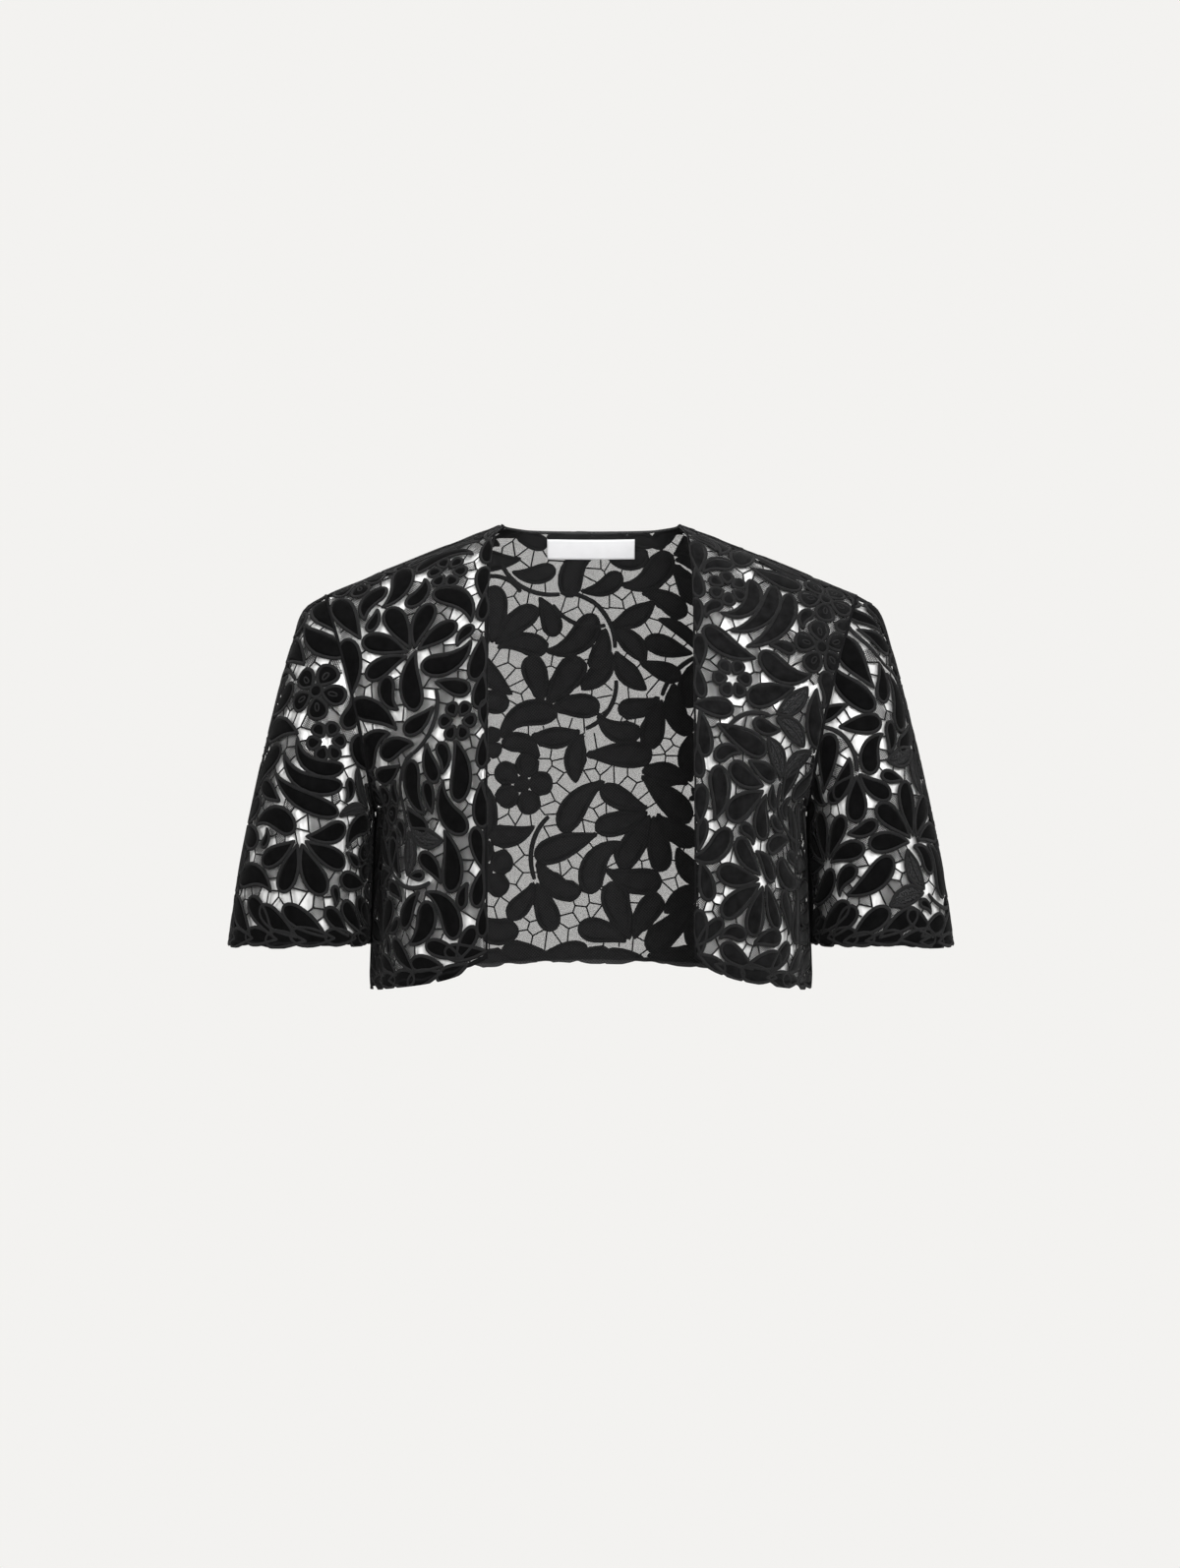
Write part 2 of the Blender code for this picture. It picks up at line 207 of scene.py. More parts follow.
# %% places on the cloth
FORMS = {"front": body_form, "back": back_form, "sleeve": sleeve_form}
OUTWARD = {"front": 1, "back": -1, "sleeve": -1}
FOLDS = {
    # across, up, half_across, half_up, height
    "front": [(0.80, 0.10, 0.16, 0.45, -0.0030), (0.42, 0.05, 0.20, 0.40, 0.0025)],
    "back": [(0.55, 0.05, 0.18, 0.35, -0.0030), (0.25, 0.10, 0.16, 0.40, 0.0025)],
    "sleeve": [(0.80, 0.75, 0.09, 0.55, 0.0035), (0.66, 0.85, 0.08, 0.45, -0.0030),
               (0.34, 0.85, 0.09, 0.45, -0.0030), (0.20, 0.70, 0.09, 0.55, 0.0030)],
}
STEP = 0.0001


def unit(vectors):
    """Vectors divided by their lengths; one of no length stays so."""
    return vectors / np.maximum(np.linalg.norm(vectors, axis=-1, keepdims=True), 1e-12)


def on_cloth(cut, across, up, out):
    """Places on a cut with its soft folds, moved out of the cloth by `out` metres.

    The way out is the cross product of two small steps along the form. A fold is a round bump, the
    square of (1 - r squared).
    """
    form = FORMS[cut]
    along = form(cut, across + STEP, up) - form(cut, across - STEP, up)
    rise = form(cut, across, up + STEP) - form(cut, across, up - STEP)
    normal = unit(np.cross(along, rise) * OUTWARD[cut])
    for at_across, at_up, half_across, half_up, height in FOLDS[cut]:
        off = ((across - at_across) / half_across) ** 2 + ((up - at_up) / half_up) ** 2
        out = out + height * np.clip(1 - off, 0, None) ** 2
    return form(cut, across, up) + np.asarray(out)[..., None] * normal


front_edge = on_cloth("front", np.zeros(2), np.array([0.0, 1.0]), 0.0)
print("front edge: from", front_edge[0].round(4), "up to", front_edge[1].round(4))

# %% [markdown]
# ## The paper patterns
# A dressmaker cuts lace by a paper pattern. Blender can unwrap a mesh to a UV map, but a map has no
# true lengths. So a net of straight threads is put on each form, and every thread keeps its length
# while the net relaxes on the table. What is left is the paper pattern, in millimetres. The way back
# from a point of the paper to the two shares of the form is found by Newton steps on the same net.

# %% lay each cut flat
NET_ACROSS, NET_UP = 21, 30
BODY_KNOTS = np.concatenate([np.linspace(0, UNDERARM_SHARE, 12)[:-1],
                             np.linspace(UNDERARM_SHARE, 1, 19)])
UP_KNOTS = {"front": BODY_KNOTS, "back": BODY_KNOTS, "sleeve": np.linspace(0, 1, NET_UP)}
RELAXING_STEPS = 2500
RELAXING_SPEED = 1.6


def lay_flat(cut):
    """Threads along, up and both ways aslant keep their lengths; each end moves half of the way."""
    across, up = np.meshgrid(np.linspace(0, 1, NET_ACROSS), UP_KNOTS[cut], indexing="ij")
    solid = on_cloth(cut, across, up, 0.0) / MM
    knot = np.arange(across.size).reshape(across.shape)
    ends = [(knot[:-1], knot[1:]), (knot[:, :-1], knot[:, 1:]),
            (knot[:-1, :-1], knot[1:, 1:]), (knot[1:, :-1], knot[:-1, 1:])]
    a, b = (np.concatenate([pair[end].ravel() for pair in ends]) for end in (0, 1))
    true = np.linalg.norm(solid.reshape(-1, 3)[a] - solid.reshape(-1, 3)[b], axis=1)
    run = np.linalg.norm(np.diff(solid, axis=0), axis=2).cumsum(axis=0)
    x = np.concatenate([np.zeros((1, NET_UP)), run])
    rise = np.linalg.norm(np.diff(solid, axis=1), axis=2).mean(axis=0).cumsum()
    y = np.concatenate([[0.0], rise])[None] + 0 * x
    if cut == "sleeve":
        x = x - x[NET_ACROSS // 2]
        y = y.max() - y
    flat = np.stack([x, y], -1).reshape(-1, 2)
    threads = np.bincount(np.concatenate([a, b]))[:, None]
    for _ in range(RELAXING_STEPS):
        gap = flat[b] - flat[a]
        long = np.linalg.norm(gap, axis=1)
        push = gap * (0.5 * (long - true) / np.maximum(long, 1e-6))[:, None]
        move = np.zeros_like(flat)
        np.add.at(move, a, push)
        np.add.at(move, b, -push)
        flat += RELAXING_SPEED * move / threads
        if cut == "back":
            flat[knot[0], 0] = 0.0
    print(cut, "threads off by", round(float(np.abs(long - true).mean()), 2), "mm on average")
    flat = flat.reshape(NET_ACROSS, NET_UP, 2)
    return flat - [0.0, flat[..., 1].min()]


PATTERN = {cut: lay_flat(cut) for cut in FORMS}


# %% from shares to the paper
def net_corners(flat, a, b):
    """The four knots round each place of the net, and how far it lies between them."""
    i = np.clip(np.floor(a).astype(int), 0, NET_ACROSS - 2)
    j = np.clip(np.floor(b).astype(int), 0, NET_UP - 2)
    knots = flat[i, j], flat[i + 1, j], flat[i, j + 1], flat[i + 1, j + 1]
    return *knots, (a - i)[..., None], (b - j)[..., None]


def between(p, q, r, s, f, g):
    """The place between four knots, by shares of the two ways."""
    return p * (1 - f) * (1 - g) + q * f * (1 - g) + r * (1 - f) * g + s * f * g


def on_paper(cut, across, up):
    """Points of the paper pattern, in millimetres, at two shares."""
    row = np.interp(up, UP_KNOTS[cut], np.arange(NET_UP))
    return between(*net_corners(PATTERN[cut], across * (NET_ACROSS - 1), row))


# %% from the paper back to shares
PAPER_STEPS = 16
LEAST_TURN = 1e-3


def nearest(points, seeds):
    """The index of the seed nearest to each point."""
    near = np.empty(len(points), int)
    for low in range(0, len(points), 4000):
        part = points[low:low + 4000]
        near[low:low + 4000] = ((part[:, None] - seeds[None]) ** 2).sum(-1).argmin(1)
    return near


def steps_for(miss, by_a, by_b):
    """How far to go along two slopes so that they make up for a miss: two equations, solved."""
    turn = by_a[..., 0] * by_b[..., 1] - by_a[..., 1] * by_b[..., 0]
    turn = np.where(np.abs(turn) < LEAST_TURN, LEAST_TURN, turn)
    return ((miss[..., 0] * by_b[..., 1] - miss[..., 1] * by_b[..., 0]) / turn,
            (by_a[..., 0] * miss[..., 1] - by_a[..., 1] * miss[..., 0]) / turn)


def shares_at(cut, paper):
    """The two shares at points of the paper.

    Newton steps of at most a cell, from the nearest of every second knot; the best place is kept.
    """
    flat = PATTERN[cut]
    coarse = flat[::2, ::2]
    a, b = np.divmod(nearest(paper, coarse.reshape(-1, 2)), coarse.shape[1])
    a, b = 2.0 * a, 2.0 * b
    best_a, best_b, least = a, b, np.full(len(paper), np.inf)
    for _ in range(PAPER_STEPS):
        p, q, r, s, f, g = net_corners(flat, a, b)
        miss = paper - between(p, q, r, s, f, g)
        off = (miss ** 2).sum(axis=1)
        better = off < least
        best_a, best_b = np.where(better, a, best_a), np.where(better, b, best_b)
        least = np.minimum(off, least)
        step_a, step_b = steps_for(miss, (q - p) * (1 - g) + (s - r) * g,
                                   (r - p) * (1 - f) + (s - q) * f)
        a = np.clip(a + np.clip(step_a, -1, 1), 0, NET_ACROSS - 1)
        b = np.clip(b + np.clip(step_b, -1, 1), 0, NET_UP - 1)
    return best_a / (NET_ACROSS - 1), np.interp(best_b, np.arange(NET_UP), UP_KNOTS[cut])


PANELS = {
    # cut; side, 1 the wearer's left and -1 the right; seed of the chance that spreads its motifs
    "front_left": {"cut": "front", "side": 1, "seed": 3},
    "front_right": {"cut": "front", "side": -1, "seed": 14},
    "back": {"cut": "back", "side": 1, "seed": 5},
    "sleeve_left": {"cut": "sleeve", "side": 1, "seed": 11},
    "sleeve_right": {"cut": "sleeve", "side": -1, "seed": 14},
}

# %% [markdown]
# ## Drawing the lace
# The motifs of the lace are petals, leaves and flowers in sprays. They could be Bezier curves drawn by
# hand, but hundreds of them have to nest, so each is a row of seven numbers that a script can try out.
# Every motif is a petal: a spine that may bend, with a width that follows one of a few outlines. A
# drop is narrow at its foot and round at its head, a leaf is pointed at both ends, a stem is a narrow
# band. Sprays are petals in rings or along an arc: fans, flowers, swirls, pairs of leaves and fronds.

# %% petals
DROP, BROAD, ROUND, LEAF, STEM, BLADE = 1.15, 0.70, 0.0, -1.0, -2.0, -3.0
CORD = 1.4
HEADING_AT = 0.35


def petal(rows, stations, ends=0.0):
    """Spines, flat normals and half widths of petals; `ends` leaves out some of both tips.

    Rows are x, y, angle, length, width, bend and outline; the angle holds at HEADING_AT of the length.
    """
    columns = np.moveaxis(np.asarray(rows, float)[..., None], -2, 0)
    x0, y0, angle, length, width, bend, outline = columns
    turn = np.linspace(ends, np.pi - ends, stations)
    along = (1 - np.cos(turn)) / 2 + 0 * x0
    half = np.sin(turn) * np.sin(turn / 2) ** np.abs(outline)
    half = np.where((outline == LEAF) | (outline == BLADE), np.sin(np.pi * along) ** 0.85, half)
    half = np.where(outline == STEM, np.sin(turn) ** 0.4, half)
    half = half / half.max(axis=-1, keepdims=True) * width / 2
    heading = angle + bend * (along - HEADING_AT)
    step = np.diff(along, axis=-1, prepend=0.0) * length
    x = x0 + np.cumsum(np.cos(heading) * step, axis=-1)
    y = y0 + np.cumsum(np.sin(heading) * step, axis=-1)
    return np.stack([x, y], -1), np.stack([-np.sin(heading), np.cos(heading)], -1), half


def outline_of(rows, stations=15):
    """The closed line that the cord of each petal follows: up one side and down the other."""
    spine, across, half = petal(rows, stations)
    left = spine + half[..., None] * across
    right = spine - half[..., None] * across
    return np.concatenate([left, right[..., -2:0:-1, :]], axis=-2)


def turned(spray, x, y, angle, flip):
    """Copies of a spray moved, turned and turned over; x, y, angle and flip are one for each copy."""
    rows = np.repeat(spray[None], len(x), axis=0)
    rows[:, :, (1, 2, 5)] *= flip[:, None, None]
    cos, sin = np.cos(angle)[:, None], np.sin(angle)[:, None]
    place_x = x[:, None] + cos * rows[..., 0] - sin * rows[..., 1]
    place_y = y[:, None] + sin * rows[..., 0] + cos * rows[..., 1]
    rows[..., 0], rows[..., 1] = place_x, place_y
    rows[..., 2] += angle[:, None]
    return rows


# %% ways to put petals together
FULL_RING = 270
STEM_WIDTH = 0.8


def ring(count, first, last, start, length, width, bend, outline):
    """Petals that stand out from one point, evenly turned from the first angle to the last.

    In an open fan the outer petals are smaller and bend outwards; in a full ring all are alike.
    """
    angle = np.radians(np.linspace(first, last, count))
    lean, size = np.ones(count), np.ones(count)
    if last - first < FULL_RING:
        lean = np.linspace(-1, 1, count)
        size = 1 - 0.14 * np.abs(lean)
    return np.stack([start * np.cos(angle), start * np.sin(angle), angle, length * size, width * size,
                     np.radians(bend) * lean, np.full(count, outline)], -1)


def arc(radius, first, extent, width, outline):
    """One petal or stem that runs round a circle, from the first angle through the extent."""
    start, bend = np.radians(first), np.radians(extent)
    heading = start + np.sign(bend) * np.pi / 2 + HEADING_AT * bend
    return [radius * np.cos(start), radius * np.sin(start), heading, radius * abs(bend), width, bend,
            outline]


def frond(radius, first, last, count, length, width):
    """Petals on the outer side of a bent stem, all leaning the same way."""
    place = np.radians(np.linspace(first, last, count))
    size = 1 - 0.22 * np.abs(np.linspace(-1, 1, count))
    petals = np.stack([radius * np.cos(place), radius * np.sin(place), place + np.radians(46),
                       length * size, width * size, np.full(count, np.radians(30)),
                       np.full(count, DROP)], -1)
    return np.concatenate([petals, [arc(radius - 4.0, first, last - first, STEM_WIDTH, STEM)]])


def vine(arcs, drop, tip):
    """A stem of arcs, each a length and a bend in degrees, and a spray at its tip.

    Each arc has a drop on either side, at a third and at two thirds of its stations.
    """
    rows, place, heading = [], np.zeros(2), 0.0
    for length, bend in arcs:
        bend = np.radians(bend)
        stem = [*place, heading + HEADING_AT * bend, length, STEM_WIDTH, bend, STEM]
        spine, normal, _ = petal([stem], 13)
        rows.append(stem)
        for station, side in ((4, 1), (8, -1)):
            foot = spine[0, station] + 3.4 * side * normal[0, station]
            lean = heading + bend * station / 12 + side * np.radians(42)
            rows.append([*foot, lean, drop, 0.42 * drop, side * np.radians(38), DROP])
        place, heading = spine[0, -1], heading + bend
    end = turned(tip, place[:1], place[1:], np.array([heading]), np.ones(1))[0]
    return np.concatenate([rows, end])


# %% the sprays of this lace
CIRCLE = [[-3.9, 0.0, 0.0, 7.8, 7.8, 0.0, ROUND]]
DAISY = ring(6, 0, 300, 3.9, 8.6, 7.6, 0, BROAD)
LEAF_PAIR = ring(2, -31, 31, 3.0, 32, 13.0, 38, LEAF)
FEATHERS = [arc(19.5, -75, 125, 10.0, DROP), arc(30.5, -58, 96, 11.0, DROP),
            arc(41.5, -44, 74, 11.5, DROP)]
SPRAYS = {
    "fan": ring(5, -80, 80, 4.5, 33, 13.5, 30, DROP),
    "flower": np.concatenate([ring(5, 0, 288, 4.0, 13.5, 12.0, 0, BROAD), CIRCLE]),
    "leaves": np.concatenate([LEAF_PAIR, ring(1, 180, 180, 2.0, 42, STEM_WIDTH, 75, STEM)]),
    "frond": frond(40, -58, 58, 6, 28, 11.0),
    "swirl": ring(3, 0, 240, 4.0, 30, 14.0, 55, DROP) + [0, 0, 0, 0, 0, np.radians(55), 0],
    "trefoil": ring(3, -47, 47, 4.5, 33, 15.0, 25, DROP),
    "wing": np.concatenate([DAISY, FEATHERS]),
    "vine": vine([(46, 80), (52, -95)], 25.0, LEAF_PAIR),
    "tendril": vine([(40, -70)], 27.0, ring(3, -50, 50, 3.0, 28, 12.5, 35, DROP)),
    "daisy": DAISY,
    "blades": np.concatenate([ring(2, -24, 24, 3.0, 36, 7.5, 50, BLADE),
                              ring(1, 180, 180, 2.0, 30, STEM_WIDTH, -80, STEM)]),
}
LARGE_TO_SMALL = ["vine", "fan", "wing", "flower", "tendril", "leaves", "frond", "fan", "flower",
                  "swirl", "leaves", "trefoil", "blades", "daisy", "swirl", "trefoil"]
print("petals in each spray:", {name: len(rows) for name, rows in SPRAYS.items()})

# %% [markdown]
# ## The room on the paper
# To nest motifs, the script has to know how much room is left anywhere on a paper. Comparing every
# outline with every other would be slow. Instead a chart, a grid of places two millimetres apart, keeps
# at each place the distance to the nearest outline: positive in the open, negative inside a motif.
# Drawing a motif only lowers the chart round it.

# %% the edges of a paper
EDGE_POINTS, OUTLINE_POINTS = 320, 160


def paper_sides(cut, count):
    """The hem, the side, the top and the inner edge of a cut's paper, each as `count` points."""
    t = np.linspace(0, 1, count)
    return (on_paper(cut, t, 0 * t), on_paper(cut, 0 * t + 1, t),
            on_paper(cut, t, 0 * t + 1), on_paper(cut, 0 * t, t))


def edge_lines(cut):
    """The paper's edges by name, as points about a millimetre apart; the back has both its halves."""
    hem, side, top, edge = paper_sides(cut, EDGE_POINTS)
    if cut != "back":
        return {"hem": hem, "side": side, "shoulder": top, "edge": edge}
    t = np.linspace(0, 1, EDGE_POINTS)
    neck, shoulder = top[t <= NECK_REACH], top[t >= NECK_REACH]
    return {"hem": np.concatenate([hem[::-1] * [-1, 1], hem]),
            "side": np.concatenate([side, side * [-1, 1]]),
            "shoulder": np.concatenate([shoulder, shoulder * [-1, 1]]),
            "edge": np.concatenate([neck[::-1] * [-1, 1], neck])}


def round_the_paper(cut):
    """The outline of the paper as one closed line."""
    hem, side, top, edge = paper_sides(cut, OUTLINE_POINTS)
    if cut != "back":
        return np.concatenate([hem, side, top[::-1], edge[::-1]])
    half = np.concatenate([hem, side, top[::-1]])
    return np.concatenate([half, half[::-1] * [-1, 1]])


# %% the chart of free room
CHART = 2.0
CHART_MARGIN = 8
FAR = 30.0
EDGE_ROOM = {
    # how far a motif may reach past each edge (plus) or has to stay inside it (minus), in millimetres
    "front": {"edge": 4.5, "hem": 2.0, "side": 8.0, "shoulder": 6.0},
    "back": {"edge": -1.8, "hem": 2.5, "side": 8.0, "shoulder": 6.0},
    "sleeve": {"edge": 6.0, "side": 6.0, "hem": 8.0, "shoulder": 2.0},
}


def within(line, x, y):
    """Which points lie inside a closed line: those with an odd number of crossings to their right."""
    inside = np.zeros(x.shape, bool)
    for (ax, ay), (bx, by) in zip(line, np.roll(line, -1, axis=0)):
        level = (ay > y) != (by > y)
        inside ^= level & (x < ax + (y - ay) * (bx - ax) / (by - ay if by != ay else 1e-9))
    return inside


def far_from(points, x, y):
    """The distance from each place to the nearest of some points."""
    near = np.full(x.shape, np.inf)
    for low in range(0, len(points), 64):
        part = points[low:low + 64]
        far = (x[..., None] - part[:, 0]) ** 2 + (y[..., None] - part[:, 1]) ** 2
        near = np.minimum(near, far.min(axis=-1))
    return np.sqrt(near)


class Chart:
    """The free room on one cut's paper: positive in the open, negative past what its edges allow."""

    def __init__(self, cut):
        line = round_the_paper(cut)
        self.low = line.min(axis=0) - CHART_MARGIN
        size = np.ceil((line.max(axis=0) + CHART_MARGIN - self.low) / CHART).astype(int)
        self.x, self.y = np.meshgrid(self.low[0] + CHART * np.arange(size[0]),
                                     self.low[1] + CHART * np.arange(size[1]), indexing="ij")
        self.sign = np.where(within(line, self.x, self.y), 1.0, -1.0)
        self.edges = {name: far_from(points, self.x, self.y)
                      for name, points in edge_lines(cut).items()}
        self.inside = self.sign * np.minimum.reduce(list(self.edges.values()))
        self.area = (self.inside > 0).sum() * CHART ** 2
        # On the paper the tightest edge counts; off the paper only the edge that is nearest
        room = [self.sign * far + EDGE_ROOM[cut][name] for name, far in self.edges.items()]
        outside = np.stack([np.where(self.sign > 0, FAR, far) for far in self.edges.values()])
        off = np.take_along_axis(np.stack(room), outside.argmin(axis=0)[None], axis=0)[0]
        self.room = np.minimum(np.where(self.sign > 0, np.minimum.reduce(room), off), FAR)

    def read(self, field, points):
        """A field of the chart at the place nearest to each point of the paper."""
        at = np.round((points - self.low) / CHART).astype(int)
        wide, high = field.shape
        return field[np.clip(at[..., 0], 0, wide - 1), np.clip(at[..., 1], 0, high - 1)]

    def blend(self, field, points):
        """A field of the chart at points of the paper, blended from the four places round each."""
        at = np.clip((points - self.low) / CHART, 0, np.array(field.shape) - 1.001)
        i, j = np.moveaxis(at.astype(int), -1, 0)
        f, g = at[..., 0] - i, at[..., 1] - j
        near = field[i, j] * (1 - g) + field[i, j + 1] * g
        return near * (1 - f) + (field[i + 1, j] * (1 - g) + field[i + 1, j + 1] * g) * f

    def mark(self, field, line):
        """Take the inside of a closed line, and the room round it, off a field."""
        low = np.maximum(((line.min(axis=0) - FAR - self.low) / CHART).astype(int), 0)
        high = ((line.max(axis=0) + FAR - self.low) / CHART).astype(int) + 1
        part = np.s_[low[0]:max(high[0], 0), low[1]:max(high[1], 0)]
        x, y = self.x[part], self.y[part]
        if x.size == 0:
            return
        dense = np.concatenate([line, (line + np.roll(line, -1, axis=0)) / 2])
        far = far_from(dense, x, y)
        field[part] = np.minimum(field[part], np.where(within(line, x, y), -far, far))


CHARTS = {cut: Chart(cut) for cut in FORMS}
print("paper:", {cut: f"{chart.area / 1e6:.4f} m2" for cut, chart in CHARTS.items()})

# %% [markdown]
# ## Laying out the motifs
# The hem of such a lace ends in a row of petals, and so do its front edges and its neck, so those rows
# are drawn first, each petal a little different. The draughtsman of a lace then fills the cloth from
# large to small, and so does the script: sprays, each where it nests closest among forty tries, and
# then single petals, the longest that fits into the widest hole that is left. Scattering by particles
# would be easier, but particles overlap and leave holes.

# %% rows of petals along the edges
EDGE_ROWS = {
    # shortest and longest petal, mm; slant into the cloth and how much it varies, degrees; room that
    # each takes, of its length; share turned round; how far inside the edge its outline begins, mm
    "front": [((24, 36), 4, 5, 0.74, 0.4, -0.6), ((27, 36), 34, 14, 0.72, 0.4, 4.5)],
    "back": [((30, 46), 5, 5, 0.78, 0.4, -0.6)],
    "sleeve": [((26, 36), 4, 5, 0.70, 0.0, -0.6), ((30, 42), 37, 15, 0.56, 0.2, 2.5)],
    "front edge": [((20, 34), 7, 10, 1.06, 0.5, -2.0)],
    "neck": [((24, 36), 2, 5, 0.74, 0.5, -0.4)],
}
MOST_IN_A_ROW = 80
ROW_OVERHANG = 12


def run_along(line):
    """The way from the start of a line to each of its points."""
    return np.concatenate([[0], np.linalg.norm(np.diff(line, axis=0), axis=1).cumsum()])


def edge_row(line, chance, length, slant, vary, room, back, inside):
    """An uneven row of petals along an edge that has the cloth on its left: heads slant in.

    A petal's place is the sum of the rooms before it; some petals are turned to point back.
    """
    run = run_along(line)
    long = chance.uniform(*length, MOST_IN_A_ROW)
    at = np.cumsum(room * long) - 0.9 * long[0]
    kept = at + long < run[-1] + ROW_OVERHANG
    at, long = at[kept], long[kept]
    wide = np.clip(0.38 * long, 7.0, 14.0) * chance.uniform(0.9, 1.1, len(at))
    turned_back = chance.random(len(at)) < back
    foot = np.where(turned_back, at + long, at)
    x, y = np.interp(foot, run, line[:, 0]), np.interp(foot, run, line[:, 1])
    ahead = [np.interp(foot + 5, run, line[:, k]) - np.interp(foot - 5, run, line[:, k])
             for k in (0, 1)]
    heading = np.arctan2(ahead[1], ahead[0])
    inward = wide / 2 * np.cos(np.radians(slant)) + inside + chance.uniform(0.0, 1.4, len(at))
    lean = np.radians(slant + chance.uniform(-vary, vary, len(at)))
    way = np.where(turned_back, heading + np.pi - lean, heading + lean)
    bend = np.radians(chance.uniform(-25, 10, len(at))) * np.where(turned_back, -1, 1)
    x, y = x - inward * np.sin(heading), y + inward * np.cos(heading)
    return np.stack([x, y, way, long, wide, bend, 0 * at + DROP], -1)


def edge_petals(cut, chance):
    """The rows of petals along a cut's hem and along the front edge or the back neck."""
    edges = edge_lines(cut)
    hem = edges["shoulder" if cut == "sleeve" else "hem"]
    rows = [edge_row(hem, chance, *row) for row in EDGE_ROWS[cut]]
    if cut != "sleeve":
        open_edge = EDGE_ROWS["neck" if cut == "back" else "front edge"]
        rows += [edge_row(edges["edge"][::-1], chance, *row) for row in open_edge]
    return np.concatenate(rows)


# %% sprays and single petals
SPREAD = {
    # size of the motifs; the least gap between them, mm; the widest gap that stays open, mm
    "front_left": (1.18, 1.5, 6.8),
    "front_right": (1.18, 1.9, 7.3),
    "back": (1.3, 0.6, 10.6),
    "sleeve_left": (1.18, 2.0, 7.4),
    "sleeve_right": (1.18, 2.8, 8.3),
}
SPRAYS_PER_MM2 = 300e-6
ROUNDS, TRIES = 8, 40
UNEVEN_BEND = 0.22
SINGLE_LENGTHS = np.array([38, 33, 28, 24, 20, 16, 12.5])
SINGLE_ANGLES = np.radians(np.arange(0, 360, 20))
SINGLE_BENDS = np.radians([-95, -50, 0, 50, 95])
SINGLE_FEET = [0.25, 0.45, 0.6]
MOST_SINGLES = 900


class Drawing:
    """The petals drawn so far on one panel's paper, what each belongs to, and the room left."""

    def __init__(self, panel):
        self.cut = PANELS[panel]["cut"]
        self.chance = np.random.default_rng(PANELS[panel]["seed"])
        self.chart = CHARTS[self.cut]
        self.size, self.nest, self.hole = SPREAD[panel]
        self.room = self.chart.room + self.nest
        self.rows, self.kinds = [], []

    def take(self, petals, kind):
        """Keep some petals and take their room."""
        for one, line in zip(petals, outline_of(petals)):
            self.rows.append(one)
            self.kinds.append(kind)
            self.chart.mark(self.room, line)

    def add_sprays(self):
        """Sprays from large to small: each takes the place, of many tries, where it nests closest."""
        chart, chance, size = self.chart, self.chance, self.size
        low, high = chart.low, chart.low + CHART * np.array(self.room.shape)
        for k in range(round(chart.area * SPRAYS_PER_MM2)):
            name = LARGE_TO_SMALL[k % len(LARGE_TO_SMALL)]
            spray = SPRAYS[name] * [size, size, 1, size, size, 1, 1]
            for _ in range(ROUNDS):
                spots = chance.uniform(low, high, (TRIES, 2))
                copies = turned(spray, spots[:, 0], spots[:, 1], chance.uniform(0, 2 * np.pi, TRIES),
                                chance.choice([-1.0, 1.0], TRIES))
                uneven = chance.normal(0.0, UNEVEN_BEND, copies.shape[:2])
                copies[..., 5] += (copies[..., 6] == DROP) * uneven
                lines = outline_of(copies, 11)
                free = chart.read(self.room, lines).reshape(TRIES, -1)
                heart = chart.read(self.room, lines.mean(axis=2)).min(axis=1)
                fits = (free.min(axis=1) > self.nest) & (heart > self.nest)
                if fits.any():
                    self.take(copies[np.argmin(np.where(fits, free.mean(axis=1), np.inf))], name)
                    break

    def add_singles(self):
        """Single petals into the widest hole each time: the longest that fits, and close to others."""
        chart, room = self.chart, self.room
        length, angle, bend, back = [axis.ravel() for axis in np.meshgrid(
            self.size * SINGLE_LENGTHS, SINGLE_ANGLES, SINGLE_BENDS, SINGLE_FEET)]
        width = np.clip(0.42 * length, 6.0, 14.0 * self.size)
        for _ in range(MOST_SINGLES):
            spot = np.unravel_index(np.argmax(room), room.shape)
            if room[spot] < self.hole:
                break
            x = chart.x[spot] - back * length * np.cos(angle)
            y = chart.y[spot] - back * length * np.sin(angle)
            petals = np.stack([x, y, angle, length, width, bend, 0 * x + DROP], -1)
            free = chart.read(room, outline_of(petals, 9))
            fits = free.min(axis=1) > self.nest + 0.6
            if fits.any():
                score = np.where(fits, length - 1.2 * free.mean(axis=1), -np.inf)
                self.take(petals[np.argmax(score)][None], "single")
            else:
                near = np.s_[max(spot[0] - 2, 0):spot[0] + 3, max(spot[1] - 2, 0):spot[1] + 3]
                room[near] = np.minimum(room[near], self.hole - 0.1)


# %% fill the panels
LACE = {}
for panel in PANELS:
    drawing = Drawing(panel)
    drawing.take(edge_petals(drawing.cut, drawing.chance), "edge")
    drawing.add_sprays()
    drawing.add_singles()
    chart, rows, kinds = drawing.chart, np.array(drawing.rows), np.array(drawing.kinds)
    lines = outline_of(rows)
    kept = (chart.read(chart.inside, lines) > -1.0).mean(axis=1) > 0.3
    rows, kinds, lines = rows[kept], kinds[kept], lines[kept]
    gap = np.full(chart.room.shape, FAR)
    for line in lines:
        chart.mark(gap, line)
    LACE[panel] = {"rows": rows, "kinds": kinds, "lines": lines, "gap": gap}
    cover = (gap[chart.inside > 0] < CORD).mean()
    print(panel, len(rows), "petals,", (kinds == "edge").sum(), "along edges and",
          (kinds == "single").sum(), "single,", f"{cover:.0%} of the cloth")

